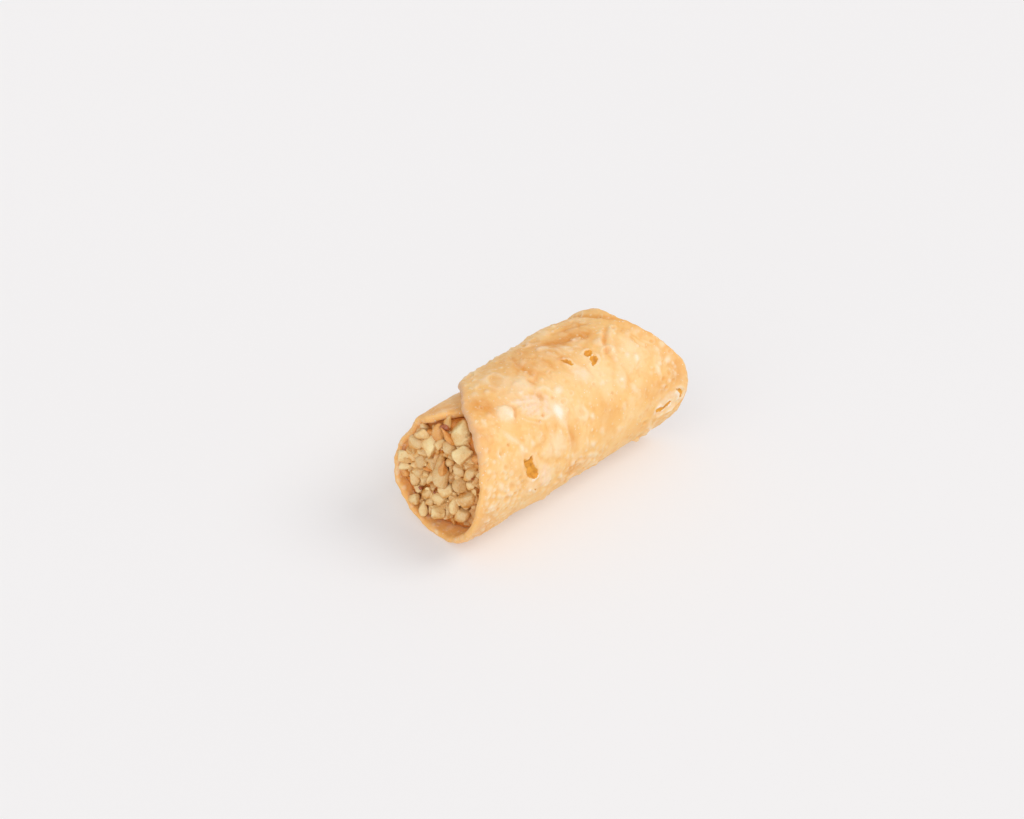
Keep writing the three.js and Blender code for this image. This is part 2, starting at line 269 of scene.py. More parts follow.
# Pale flakes of skin lifted off the layer below: outline, rise, how pale, how pinkish, how soft their edge.
flakes = [
    ([(-15, 342), (-12.6, 338), (-8.3, 336), (-5.3, 335), (-3.2, 332), (-2.2, 325), (-3.1, 318),
      (-4.7, 311.5), (-8, 311.5), (-12.2, 318), (-14.6, 324), (-13.6, 331)], 0.12, 0.32, 0.9, 1),
    ([(-21.4, 336), (-19, 339.5), (-16.8, 339), (-15.6, 334), (-15.9, 329.5), (-17.4, 325), (-19.8, 324.5),
      (-21.4, 329)], 0.5, 0.68, 0, 0.8),
    ([(-15.6, 281), (-13.2, 279), (-11.3, 274), (-10.6, 265), (-11.3, 256), (-14.6, 256), (-16.3, 265),
      (-15.9, 274)], 0.12, 0.45, 0.8, 0.9),
    ([(-21, 272), (-18.5, 269.5), (-16.4, 264), (-16.6, 253), (-21.1, 255), (-24, 264)], 0.12, 0.4, 0.5,
      0.8),
    ([(10.4, 336), (13.6, 336), (16.2, 331), (15.4, 325), (12.8, 320.5), (9.9, 327)], 0.08, 0.45, 0.6, 1.2),
    ([(36.2, 259), (36.8, 264.8), (38.6, 269), (41.1, 271.8), (43.6, 274.6), (46.2, 274.2), (48.3, 270),
      (48.6, 263.5), (47.6, 259.6), (45.3, 256.8), (41.9, 255), (38.8, 253.4)], -0.15, 0.85, 0, 0.7),
    ([(-12.5, 345), (-9.3, 352), (-5.1, 351), (-3.7, 341.5), (-6.2, 337), (-10, 337)], 0.2, 0.16, 0.15,
      0.9),
    ([(-12.2, 291), (-9, 297), (-5.4, 297), (-3.2, 291), (-3.1, 282), (-5.2, 277), (-9, 277), (-12, 283)],
      0.22, 0.4, 0, 1.2),
    ([(25.4, 318), (27.6, 331), (31, 337), (36, 334), (38, 322), (35, 311), (29, 308)], 0.08, 0.2, 0, 1.5),
    ([(9.5, 13), (13.4, 15), (13.5, 9), (10.5, 8)], 0.15, 0.7, 0, 0.8),
    ([(15.8, 3.5), (18.9, 358), (20, 353), (16.5, 356)], 0.1, 0.75, 0, 0.7),
    ([(-24.8, 318), (-22.6, 317.5), (-19.6, 306), (-20.8, 303), (-24.4, 312)], 0.16, 0.45, 0, 0.9),
]

# Folds in the sheet: places along one, half width, height (below 0 a groove), how pale and how browned. The
# browning along grooves is partly painted shade, and the paling along ridges partly painted light.
folds = [
    ([(35.4, 352), (31.4, 343.5), (29, 335), (28.2, 326)], 1, 0.32, 0.25, 0),
    ([(34.4, 355), (31.2, 348.5), (28.8, 343), (27.4, 338.5), (26.4, 332), (26.1, 326)], 0.75, -0.5, 0,
      0.55),
    ([(31.6, 352.5), (27.4, 345), (25.2, 336)], 0.8, 0.2, 0.3, 0),
    ([(12, 17), (19.4, 10), (26.8, 360), (28.6, 356)], 2.3, -0.35, 0, 0.62),
    ([(14, 12), (18.2, 6.5), (24.5, 356)], 0.6, 0.2, 0.12, 0),
    ([(22, 24), (29.6, 16), (33.6, 6)], 0.8, -0.3, 0, 0.4),
    ([(25, 33), (31.9, 26), (34.8, 17)], 0.8, 0.3, 0.22, 0),
    ([(34.8, 54), (35.4, 38), (35.7, 22.7), (36.7, 10.5), (38.2, 1.7), (40.3, 352)], 0.8, -0.8, 0, 0.5),
    ([(37.6, 56), (38.6, 38), (39.6, 22), (40.2, 10), (40.6, 0)], 1.4, 0.55, 0.15, 0),
    ([(-2.3, 301), (-2.2, 296), (-2.1, 288.5), (-2.2, 280), (-3.4, 273.7)], 0.6, 0.2, 0.35, 0),
    ([(-15.4, 338), (-12, 334), (-8.4, 330), (-7, 327)], 0.4, 0.14, 0.6, 0),
    ([(-13.6, 326), (-10.4, 326.5), (-7.6, 324)], 0.35, 0.12, 0.5, 0),
    ([(-12.6, 319), (-10.5, 315), (-8.2, 312), (-5.6, 312)], 0.4, 0.16, 0.7, 0),
    ([(-11, 331), (-9, 327.5), (-6.8, 323)], 0.4, -0.14, 0, 0.3),
    ([(-20.8, 294), (-20.9, 299), (-19.8, 303)], 0.7, 0.2, 0.6, 0),
    ([(-15.6, 272), (-14.2, 270), (-13.6, 263), (-14.6, 258)], 0.45, 0.16, 0.5, 0),
    ([(11.5, 12.8), (14.6, 2.2), (13.3, 351)], 0.7, 0.2, 0.3, 0),
    ([(-1.2, 297), (-1, 290), (-0.6, 283), (-1.5, 276)], 1, -0.2, 0, 0.35),
    ([(2.6, 22), (0.4, 8), (-0.4, 357), (-0.8, 350), (-1.6, 343)], 0.9, -0.42, 0, 0.4),
    ([(0.9, 12), (1.4, 5), (1.3, 355), (0.6, 349)], 1.3, 0.3, 0.16, 0),
    ([(-3.4, 351), (-3.1, 345), (-2.6, 340)], 0.5, -0.3, 0, 0.5),
    ([(-15.5, 324), (-14, 317), (-11.2, 311), (-9.2, 309)], 0.35, 0.2, 0.6, 0),
    ([(-14, 321), (-10.8, 321), (-7.4, 321.5)], 0.4, -0.16, 0, 0.4),
    ([(-5.4, 334.5), (-3.5, 336), (-1.4, 335), (-0.4, 330), (-0.7, 325)], 0.6, 0.36, 0.6, 0),
    ([(-15.2, 336), (-14.8, 332), (-16.1, 326.5), (-17.4, 324)], 0.45, -0.34, 0, 0.75),
    ([(15.9, 338), (16.4, 333), (16.1, 328), (16.4, 320)], 0.4, -0.2, 0, 0.42),
    ([(10.2, 351), (12.3, 350), (14, 346)], 0.6, -0.12, 0, 0.7),
    ([(44.2, 277), (47.6, 274.2), (49.6, 268.5), (49.4, 262), (47.2, 256.8), (43.6, 253.8), (39, 252.2),
      (36, 256)], 0.45, 0.32, 0.7, 0),
    ([(33.4, 229), (36, 232), (37.4, 240), (38.4, 252)], 0.9, 0.75, 0.4, 0),
    ([(-23.8, 322), (-22.4, 313), (-20.4, 304)], 0.8, 0.12, 0.5, 0),
    ([(-22.2, 294), (-22.3, 286), (-21.9, 278)], 0.5, 0.2, 0.45, 0),
    ([(-20, 271), (-17.8, 269.6), (-15.9, 273.5)], 0.45, 0.28, 0.95, 0),
    ([(-19.8, 299), (-19, 295)], 0.8, 0.25, 0.8, 0),
    ([(-16.3, 293), (-16, 286), (-15.6, 281)], 0.6, 0.16, 0.4, 0),
]

# Single blisters: along, turn, half size along and round, rise, how pale.
blisters = {
    "dome": [
        (-6.2, 346.5, 3, 3.4, 0.42, 0.14), (-32.1, 282, 1.3, 1.8, 0.36, 0.85),
        (-28.6, 338.5, 0.5, 0.5, 0.3, 1.2), (-26.9, 335, 0.8, 1.7, 0.22, 0.7),
        (-32.4, 314, 1, 1, 0.25, 0.65), (-26.8, 287, 0.9, 1, 0.24, 0.6), (-15.9, 300, 1.1, 1.5, 0.25, 0.6),
        (7.9, 282, 0.5, 0.5, 0.3, 1), (5.2, 274, 0.8, 1.9, 0.25, 0.6), (2.5, 263, 0.8, 0.8, 0.3, 0.7),
        (-3.6, 272, 0.9, 1.1, 0.3, 0.6), (10.1, 247, 0.75, 0.75, 0.4, 1.2), (-1.4, 270, 0.6, 1, 0.3, 0.8),
        (9.4, 292, 1.1, 1.4, 0.22, 0.6), (-9.4, 340, 1.3, 0.8, 0.22, 0.5), (-20.5, 3, 1.6, 1.3, 0.25, 0.45),
        (31.6, 322, 1, 1.2, 0.22, 0.6), (34, 316, 1.2, 1.3, 0.24, 0.7), (37, 337, 1.1, 1.1, 0.2, 0.5),
        (40.6, 335, 1.2, 1, 0.2, 0.45), (39.7, 298, 1.2, 2.1, 0.28, 0.8), (24.9, 307, 0.9, 0.8, 0.22, 0.7),
        (41.3, 302, 0.9, 0.9, 0.2, 0.55), (46.4, 297, 0.7, 0.9, 0.28, 0.9),
        (28.3, 295, 1.4, 1.9, 0.24, 0.75), (8.8, 293, 0.8, 0.9, 0.2, 0.5), (22.6, 285, 1, 1.8, 0.22, 0.55),
        (11.9, 276, 1.2, 1.6, 0.26, 0.6), (19.7, 268, 1.2, 1.5, 0.24, 0.5), (-36, 97, 0.9, 1.2, 0.45, 1),
        (-20.2, 262, 0.6, 0.6, 0.3, 1.1), (33.6, 229, 1.3, 1.1, 0.9, 0.3),
        (-6.2, 256.5, 0.9, 1.4, 0.45, 0.95), (-0.7, 244.5, 1.2, 0.9, 0.6, 0.9),
        (-34.4, 303, 0.5, 0.5, 0.25, 0.8), (-26.6, 262, 1, 0.9, 0.3, 0.8), (-36.6, 270, 0.9, 0.9, 0.3, 0.8),
        (30.4, 352, 0.9, 0.8, 0.2, 0.5), (17.2, 352, 1.2, 0.8, 0.15, 0.6),
    ],
    "ring": [
        (-10.9, 5, 3.6, 3.9, 0.36, 0.55), (5.5, 300.6, 2.1, 2.5, 0.34, 0.7),
        (-27.6, 275.5, 1.9, 2, 0.42, 0.95), (-38.2, 283.6, 1.6, 1.7, 0.36, 1),
        (-28.4, 304, 0.9, 1.7, 0.3, 0.7), (-27.6, 306, 2, 1.7, 0.26, 0.7), (-30.4, 268, 1.7, 1.2, 0.3, 0.8),
        (-33.6, 262, 1.2, 1, 0.3, 0.8), (-29.6, 257, 1.2, 0.9, 0.32, 0.8),
    ],
    "pit": [
        (19.8, 301, 0.7, 0.7, -0.2, 0), (-5.3, 328.5, 1, 1.3, -0.4, 0), (-10.3, 312, 0.5, 0.6, -0.3, 0),
        (-8.1, 315, 0.55, 0.6, -0.3, 0), (-1.4, 323, 0.6, 0.7, -0.25, 0), (-24.3, 309, 0.5, 0.5, -0.3, 0),
        (34.4, 233, 0.5, 0.6, -0.3, 0),
    ],
}

# Broad patches with no edge of their own: along, turn, reach along, reach round, how pale, how browned.
washes = [
    (-24, 351, 4, 5, 0, 0.55), (-30.6, 326, 2.8, 6, 0, 0.5), (-0.4, 254, 5, 3, 0, 0.6),
    (-0.2, 288, 2.2, 6, 0, 0.4), (47, 287, 4, 5, 0, 0.6), (33.6, 285, 4, 4, 0, 0.35),
    (39.1, 280, 2.6, 3, 0, 0.4), (15.8, 288, 5, 5, 0, 0.4), (19, 9, 6, 3.2, 0, 0.6), (28, 18, 5, 5, 0, 0.5),
    (0.5, 359, 2.4, 4.5, 0, 0.3), (8, 352, 5, 4, 0, 0.25), (4, 358, 16, 7, 0, 0.3),
    (-14, 352, 8, 6, 0, 0.2), (24, 355, 8, 6, 0, 0.2), (-21.6, 347, 2.2, 4, 0, 0.6),
    (-5, 329.5, 1.5, 2, 0, 0.8), (-30, 34, 6, 12, 0, 0.35), (-8, 342, 7, 4, 0.3, 0),
    (-9.5, 357, 5, 4, 0.3, 0), (-38, 250, 4, 8, 0, 0.6), (-36, 215, 6, 9, 0, 0.6),
    (-2.2, 311.5, 2.4, 3.3, 1.4, 0), (2, 322, 3, 5, 0.3, 0), (-18, 332, 4, 4, 0.35, 0),
    (13, 325, 5, 6, 0.3, 0), (30, 312, 8, 7, 0.2, 0), (-24, 282, 7, 6, 0, 0.22), (-10, 302, 6, 5, 0, 0.18),
    (38, 12, 7, 9, 0, 0.35), (-26, 20, 8, 9, 0, 0.3), (5, 20, 12, 5, 0, 0.4), (40, 348, 4, 8, 0, 0.2),
    (19, 320, 4, 5, 0.2, 0), (44, 310, 5, 8, 0, 0.2),
]


def toSegment(start, end, along, arc):  # millimetres from a straight stretch of line, and the share along it
    (ax, ay), (bx, by) = start, end
    sx, sy = bx - ax, by - ay
    t = np.clip(((along - ax) * sx + (arc - ay) * sy) / (sx * sx + sy * sy), 0, 1)
    return np.hypot(along - ax - t * sx, arc - ay - t * sy), t


def outlineDistance(outline, along, arc):  # millimetres from an outline, below 0 inside it
    corners = [(a, arcOf(t)) for a, t in outline]
    nearest = np.full(along.shape, np.inf)
    inside = np.zeros(along.shape, bool)
    for start, end in zip(corners, corners[1:] + corners[:1]):
        d, _ = toSegment(start, end, along, arc)
        nearest = np.minimum(nearest, d)
        (ax, ay), (bx, by) = start, end
        if ay != by:
            crosses = (ay > arc) != (by > arc)
            inside ^= crosses & (along < ax + (arc - ay) * (bx - ax) / (by - ay))
    return np.where(inside, -nearest, nearest)


def foldDistance(places, along, arc):  # millimetres from an open line, and the share along it
    corners = [(a, arcOf(t)) for a, t in places]
    nearest = np.full(along.shape, np.inf)
    share = np.zeros(along.shape)
    steps = len(corners) - 1
    for k in range(steps):
        d, t = toSegment(corners[k], corners[k + 1], along, arc)
        share = np.where(d < nearest, (k + t) / steps, share)
        nearest = np.minimum(nearest, d)
    return nearest, share


def onFlap(turn, before=90):  # turns just past the top go on past 360, because they lie on the flap
    return turn + 360 if turn < before else turn


def nearTo(places, along, arc, reach):  # which points lie in a box round some places
    near = np.ones(along.shape, bool)
    for where, span in ((along, [a for a, t in places]), (arc, [arcOf(t) for a, t in places])):
        near &= (where > min(span) - reach) & (where < max(span) + reach)
    return near


def fromOutline(outline, on):  # the points near an outline, and how far from it they are
    outline = [(a, onFlap(t)) for a, t in outline]
    near = nearTo(outline, on["along"], on["arc"], skin["farFromTears"])
    return near, outlineDistance(outline, on["along"][near], on["arc"][near])


def blisterShape(distance, kind, turned):
    if kind == "ring":  # a collapsed blister, whose wall stands higher on one side
        ring = skin["ring"]
        wall = bell(distance - ring["radius"], ring["wall"])
        wall = wall * (1 - ring["lopsided"] + ring["lopsided"] * np.cos(turned))
        return wall - ring["sunk"] * bell(distance, ring["sunkReach"])
    return smoothStep(skin["dome"]["edge"] - distance, 0, skin["dome"]["slope"])


def strewBlisters():
    chance = np.random.default_rng(skin["strewnSeed"])
    kept = []
    taken = [(a, arcOf(onFlap(t)), max(ra, rs)) for spots in blisters.values() for a, t, ra, rs, *_ in spots]
    for outline, *_ in torn + flakes:
        along, turn = np.mean(outline, axis=0)
        taken.append((along, arcOf(turn), skin["clearOfTears"]))
    for zone in [None, *skin["crowded"]]:
        stop = len(kept) + (zone[4] if zone else skin["strewn"])
        tries = skin["triesEach"] * (stop - len(kept))
        while len(kept) < stop and tries > 0:
            tries -= 1
            if zone is None:
                turn = chance.uniform(*skin["strewnTurns"])
                along = chance.uniform(float(frontEdge(turn)) + 1, float(backEdge(turn)) - 1)
                sizes = [chance.uniform(*span) for span in skin["strewnSizes"]]
                size = chance.choice(sizes, p=skin["strewnShares"])
            else:
                arc = chance.normal(0, zone[3] * skin["crowdedSpread"])
                turn = zone[1] + math.degrees(arc / roll["axisHeight"])
                along = zone[0] + chance.normal(0, zone[2] * skin["crowdedSpread"])
                size = chance.uniform(*skin["crowdedSizes"])
            arc = arcOf(turn)
            room = skin["spacing"]
            if any(math.hypot(along - a, arc - s) < (size + other) * room for a, s, other in taken):
                continue
            taken.append((along, arc, size))
            kind = chance.choice(["dome", "ring"], p=skin["kindShares"])
            rise = chance.uniform(*skin["strewnRise"]) * min(1.3, 0.45 + size * 0.5)
            stretch = chance.uniform(*skin["strewnStretch"])
            paler = chance.uniform(*skin["strewnPale"]) + (skin["crowdedPaler"] if zone else 0)
            kept.append((kind, along, turn, size * stretch, size / stretch, rise, paler))
    return kept


def addCushions(on):  # more of them in lively places than elsewhere
    driftAlong = on["along"] + layeredNoise(skin["cushionDrift"], on["along"], on["arc"])
    driftRound = on["arc"] + layeredNoise(skin["cushionDrift"], on["along"], on["arc"], 50)
    lively = smoothStep(softNoise(on["along"], on["arc"], *skin["liveliness"]), -0.7, 0.5) * 0.75 + 0.25
    for size, rise, paler, browner, seed in skin["cushions"]:
        nearest, second, value = cellPattern(driftAlong, driftRound * skin["cushionsRound"], size, seed)
        between = second - nearest
        cushion = smoothStep(between, 0, 0.6) * (0.2 + 0.8 * value)
        on["height"] += rise * (cushion - 0.35) * lively
        on["pale"] += paler * np.maximum(cushion - 0.3, 0) * lively * 1.6
        on["brown"] += browner * (1 - smoothStep(between, 0, 0.3)) * lively * smoothStep(value, 0.2, 0.9)


def addWashes(on):
    for at, turn, reachAlong, reachRound, paler, browner in washes:
        centre = arcOf(onFlap(turn) if -15 < at < 36 else turn)  # the flap is there on top
        soft = bell(on["along"] - at, reachAlong) * bell(on["arc"] - centre, reachRound)
        on["pale"] += paler * soft
        on["brown"] += browner * soft


def addFlakes(on):
    for outline, rise, paler, pinker, softness in flakes:
        near, d = fromOutline(outline, on)
        wobble, crumple = on["wobble"][near], on["crumple"][near]
        d = d + wobble * 0.6 + crumple * 0.4
        lifted = smoothStep(-d, -0.5 * softness, 0.8 * softness)
        soft = smoothStep(-d, -1.1 * softness, 1.3 * softness)
        curled = smoothStep(wobble, 0.0, 0.5) * bell(d + 0.1, 0.3)
        on["height"][near] += lifted * (rise + crumple * 0.3 * (0.3 + pinker)) + 0.1 * curled
        on["pale"][near] += paler * (soft * (0.9 + 0.3 * crumple) + 0.25 * curled)
        on["pink"][near] = np.maximum(on["pink"][near], soft * pinker * (0.8 + 0.4 * crumple))


def addFolds(on):
    for places, width, rise, paler, browner in folds:
        places = [(a, onFlap(t)) for a, t in places]
        near = nearTo(places, on["along"], on["arc"], width * 3)
        d, share = foldDistance(places, on["along"][near], on["arc"][near])
        d = np.abs(d + on["wobble"][near] * width * 0.3)
        body = bell(d, width) * np.sqrt(np.sin(np.pi * np.clip(share, 0.04, 0.96)))  # it fades at its ends
        on["height"][near] += rise * body
        # paling and browning that are partly painted light and painted shade
        on["pale"][near] += paler * body
        on["brown"][near] += browner * body


def addBlisters(on):
    named = [(kind, *spot) for kind, spots in blisters.items() for spot in spots]
    for kind, at, turn, sizeAlong, sizeRound, rise, paler in named + strewBlisters():
        centre = arcOf(onFlap(turn, 60))
        near = np.abs(on["along"] - at) < sizeAlong * skin["blisterReach"]
        near &= np.abs(on["arc"] - centre) < sizeRound * skin["blisterReach"]
        wobble, crumple = on["wobble"][near], on["crumple"][near]
        offAlong, offRound = (on["along"][near] - at) / sizeAlong, (on["arc"][near] - centre) / sizeRound
        slant = skin["drawnRound"] * math.cos(math.radians(turn - skin["drawnTurn"]))
        slanted = skin["drawnAlong"] * offAlong + slant * offRound
        d = np.sqrt(np.maximum(offAlong ** 2 + offRound ** 2 - skin["drawn"] * slanted ** 2, 0))
        d = d * (1 + 0.22 * wobble + 0.12 * crumple)
        body = blisterShape(d, kind, np.arctan2(offRound, offAlong) - at)
        on["height"][near] += rise * body
        if kind == "pit":
            on["brown"][near] += 0.7 * body
        elif kind == "ring":
            on["pale"][near] += paler * np.clip(body, 0, 1) * (0.75 + 0.6 * crumple)
            on["brown"][near] += 0.25 * bell(d, 0.5)
        else:
            on["pale"][near] += paler * np.clip(body, 0, 1)


def addTears(on):
    edge, paler = skin["tearEdge"], skin["tearPale"]
    for outline, deep in torn:
        near, d = fromOutline(outline, on)
        on["tear"][near] = np.minimum(on["tear"][near], d)
        uneven = smoothStep(on["crumple"][near], -0.45, 0.35)
        # The skin curls up round a tear.
        on["height"][near] += edge["curl"] * uneven * bell(d - edge["curlAt"], edge["curlReach"])
        on["height"][near] -= deep * smoothStep(-d, -0.1, edge["slope"])
        on["pale"][near] += paler["share"] * uneven * bell(d - paler["at"], paler["reach"])


def skinOf(along, turn):  # height and finish of the outer skin at each of its points
    arc = arcOf(turn)
    on = {"along": along, "arc": arc, "height": layeredNoise(skin["unevenness"], along, arc)}
    for name in ("pale", "brown", "pink"):
        on[name] = np.zeros(along.shape)
    on["tear"] = np.full(along.shape, skin["farFromTears"])
    on["crumple"] = layeredNoise(skin["crumple"], along, arc)
    on["wobble"] = softNoise(along, arc, *skin["wobble"])
    for add in (addCushions, addWashes, addFlakes, addFolds, addBlisters, addTears):
        add(on)
    return on


# The crust is one sheet of dough, rolled till it overlaps.
crust = {
    "rows": 372,
    "outsideColumns": 196,
    "insideColumns": 62,
    # how close together the rows are: turn, density, which is less where the sheet is hidden
    "rowDensity": [(-22, 0.5), (40, 0.7), (60, 1), (230, 1), (250, 1.18), (418, 1.18)],
    "rimSteps": [0, 0.1, 0.36, 0.8, 1.3, 1.9, 2.5, 3.2, 3.9, 4.7],  # the first columns' distance from a rim
    "rimRounding": 1.3,
    "endRounding": 0.35,  # how much of its thickness the sheet keeps at its two ends
    "ragged": [(4.2, 0.42, 41), (1.5, 0.3, 43)],  # unevenness of the rims: size, reach, seed
    "rimLumps": [(1.1, 0.14, 51), (2.6, 0.18, 52)],  # the same for lumps on both faces of a rim
    "rimLumpsReach": 2.2,
    "flapEndWander": 1.6,  # degrees by which the flap's end wanders, the size of its waves and their seed
    "flapEndWaves": (4.5, 47),
    "fullerLip": {"turn": 54, "reach": 34, "extra": 1.2, "deep": 6},  # the front lip is thicker on top
    "covered": 60,  # up to this turn the flap can lie over the sheet
    "innerBlisters": {"size": 2.1, "seed": 95, "height": 0.22, "swells": (3.4, 96)},
    "underReach": 62,
    "lipShade": 0.8,  # painted shade: the lip is darkened inside the front mouth, on its upper part, this much and this far in
    "lipShadeReach": 3,
    "flapEdgeShadeReach": 1.5,  # painted shade on the flap's front edge, this far back
}


def rowTurns(rows):  # closer together on the flap and at the sheet's two ends
    turns = np.linspace(roll["start"], roll["end"], 2000)
    density = np.interp(turns, *np.array(crust["rowDensity"]).T)
    ends = np.minimum(turns - roll["start"], roll["end"] - turns)
    density = density * (1 + 2.2 * bell(ends, 2.2))
    share = np.concatenate([[0], np.cumsum((density[1:] + density[:-1]) / 2)])
    return np.interp(np.linspace(0, share[-1], rows + 1), share, turns)


def alongAt(i, count, front, back):
    steps = crust["rimSteps"]
    last = len(steps) - 1
    nearFront = front + np.interp(i, range(last + 1), steps)
    nearBack = back - np.interp(count - i, range(last + 1), steps)
    share = np.clip((i - last) / (count - 2 * last), 0, 1)
    between = (front + steps[-1]) * (1 - share) + (back - steps[-1]) * share
    return np.where(i < last, nearFront, np.where(i > count - last, nearBack, between))


def rounded(distance):
    return np.sqrt(1 - (1 - np.clip(distance / crust["rimRounding"], 0, 1)) ** 2)


def layOut(flat):  # where on the sheet each point of a flat grid lies
    rows, outside, inside = crust["rows"], crust["outsideColumns"], crust["insideColumns"]
    column = (flat[:, 1] + 1) / 2 * (outside + inside)
    isInside = column > outside + 0.01
    fromFrontColumn = np.where(isInside, outside + inside - column, column)
    count = np.where(isInside, inside, outside)
    turn = np.interp((flat[:, 0] + 1) / 2 * rows, np.arange(rows + 1), rowTurns(rows))
    front = frontEdge(turn) + layeredNoise(crust["ragged"], arcOf(turn), turn * 0)
    back = backEdge(turn) + layeredNoise(crust["ragged"], arcOf(turn), turn * 0 + 9)
    along = alongAt(fromFrontColumn, count, front, back)
    endEase = smoothStep(turn, roll["end"] - 12, roll["end"])
    turn = turn - endEase * crust["flapEndWander"] * (1 + softNoise(along, along * 0, *crust["flapEndWaves"]))
    fromRim = np.minimum(along - front, back - along)
    fromEnds = np.minimum(arcOf(turn - roll["start"]), arcOf(roll["end"] - turn))
    return {
        "along": along,
        "turn": turn,
        "arc": arcOf(turn),
        "isInside": isInside,
        "fromFront": along - front,
        "fromRim": fromRim,
        "fromEnds": fromEnds,
        "fromEdge": np.minimum(fromRim, fromEnds),
    }


def coveredShare(along, turn):  # where another layer lies over the sheet
    covered = smoothStep(crust["covered"] - turn, 0, 6)
    covered = covered * smoothStep(along - frontEdge(turn + 360), -2.5, 0)
    return covered * smoothStep(backEdge(turn + 360) - along, -2.5, 0)


def innerBlisters(along, arc):
    small = crust["innerBlisters"]
    nearest, _, value = cellPattern(along + 7, arc, small["size"], small["seed"])
    blister = smoothStep(0.6 - nearest, 0, 0.45) * smoothStep(value, 0.15, 0.9)
    return blister + 0.5 * softNoise(along, arc, *small["swells"])


def sheetThickness(sheet):  # it thins towards its rims, and its front lip is fuller
    thin, full, lip = roll["rimThickness"], roll["doughThickness"], crust["fullerLip"]
    thickness = thin + (full - thin) * smoothStep(sheet["fromEdge"], 0, roll["rimReach"])
    fuller = lip["extra"] * bell(sheet["turn"] - lip["turn"], lip["reach"])
    return thickness + fuller * smoothStep(lip["deep"] - sheet["fromFront"], 0, lip["deep"])


def sheetPoints(sheet, height, covered, blister):
    along, turn, fromEdge = sheet["along"], sheet["turn"], sheet["fromEdge"]
    atRim = smoothStep(fromEdge, 0, 1.2)
    # Skin that another layer covers stays smooth, and so does the flat that the roll rests on.
    fromUnderside = np.abs(turn - skin["undersideTurn"])
    free = (1 - covered) * smoothStep(fromUnderside, skin["undersideReach"] / 2, skin["undersideReach"])
    layersApart = smoothStep(fromUnderside, 20, 40) * (1 - covered)
    rimLumps = layeredNoise(crust["rimLumps"], along, sheet["arc"])
    rimLumps = rimLumps * (1 - smoothStep(fromEdge, 0, crust["rimLumpsReach"])) * layersApart
    ends = crust["endRounding"] + (1 - crust["endRounding"]) * rounded(sheet["fromEnds"])
    fullness = rounded(sheet["fromRim"]) * ends
    outer = sheetRadius(along, turn) - roll["rimThickness"] / 2 * (1 - fullness) + rimLumps
    inner = outer - sheetThickness(sheet) * fullness - crust["innerBlisters"]["height"] * blister * atRim
    points = onRoll(along, turn, np.where(sheet["isInside"], inner, outer + height * atRim * free))
    points[:, 2] = np.maximum(points[:, 2], 0)
    return points


def sheetFinish(sheet, on, covered, blister):
    turn, isInside = sheet["turn"], sheet["isInside"]
    atRim = smoothStep(sheet["fromEdge"], 0, 1.2)
    shown = np.where(isInside, 0, atRim * (1 - covered))
    depth = np.where(isInside, 1.0, 0.0)
    depth = np.where(sheet["fromRim"] < 0.05, 0.5, depth)
    # painted shade inside the upper front lip
    lipShade = crust["lipShade"] * bell(sheet["fromFront"], crust["lipShadeReach"])
    lipShade = lipShade * smoothStep(80 - turn, 0, 22) * smoothStep(sheet["fromFront"], 0, 0.8)
    return {
        "relief": np.where(isInside, 0.3 * blister, on["height"] * atRim),
        "pale": np.where(isInside, np.clip(0.6 * blister, 0, 1), np.clip(on["pale"], 0, 1.4) * shown),
        "brown": np.where(isInside, lipShade, np.clip(on["brown"], 0, 1.2) * shown),
        "pink": on["pink"] * shown,
        "tear": np.where(isInside, skin["farFromTears"], on["tear"]),
        "inside": depth,
        "rim": bell(sheet["fromEdge"], 2.4),
        "under": bell(turn - skin["undersideTurn"], crust["underReach"]) * (1 - depth),
        # painted shade on the upper part of the flap's front edge
        "cut": np.clip(bell(sheet["fromFront"], crust["flapEdgeShadeReach"]) * smoothStep(turn, 292, 325), 0, 1),
    }


def makeCrust():
    selectNothing()
    columns = crust["outsideColumns"] + crust["insideColumns"]
    bpy.ops.mesh.primitive_grid_add(x_subdivisions=crust["rows"], y_subdivisions=columns, size=2)
    piece = bpy.context.object
    piece.name = piece.data.name = "crust"
    sheet = layOut(pointsOf(piece.data))
    on = skinOf(sheet["along"], sheet["turn"])
    covered = coveredShare(sheet["along"], sheet["turn"])
    blister = innerBlisters(sheet["along"], sheet["arc"])
    movePoints(piece.data, intoFrame(sheetPoints(sheet, on["height"], covered, blister)))
    finish = sheetFinish(sheet, on, covered, blister)
    for name, values in finish.items():
        storeOnPoints(piece.data, name, values)
    place = np.stack([sheet["along"], sheet["arc"], finish["inside"] * 4], axis=1)
    storeOnPoints(piece.data, "doughPlace", place, "FLOAT_VECTOR")

    selectOnly(piece)
    startEditing()
    bpy.ops.mesh.remove_doubles(threshold=0.004 * mm)  # the wrapped grid's two sides meet at the front rim
    bpy.ops.mesh.select_all(action="SELECT")
    bpy.ops.mesh.fill_holes(sides=0)
    bpy.ops.mesh.select_all(action="SELECT")
    bpy.ops.mesh.normals_make_consistent(inside=False)
    stopEditing()
    bpy.ops.object.shade_smooth_by_angle(angle=math.radians(70))
    return piece


crustPiece = makeCrust()
print("crust:", len(crustPiece.data.polygons), "faces")

# The sweet filling, whose two ends were pressed into chopped nuts.
filling = {
    "gap": 0.5,
    "front": {"along": -33.3, "out": -1, "side": 0.12},
    "back": {"along": 37.0, "out": 1, "side": -0.05},
    "drawFrom": 27,  # above this height a face leans back
    "draw": 0.3,
    "dome": 0.002,
    "lumps": 0.7,
    "lumpSize": 2.4,
    "lumpSeed": 61,
    "pressed": 0.25,  # how far it is pressed into the dough's unevenness
}


def freeRadius(along, turn):  # what the dough leaves free inside
    wrapped = np.mod(turn, 360)
    own = np.where(wrapped < roll["start"] + 360, wrapped, wrapped - 360)
    wide = sheetRadius(along, own) - roll["doughThickness"]
    underStart = sheetRadius(along, np.full_like(wrapped, roll["start"])) - roll["doughThickness"]
    toStart = roll["start"] + 360 - wrapped
    drawn = smoothStep(toStart, 0, 14)
    eased = np.minimum(underStart, wide) * (1 - drawn) + wide * drawn
    return np.where(toStart > 0, eased, wide) - filling["gap"]


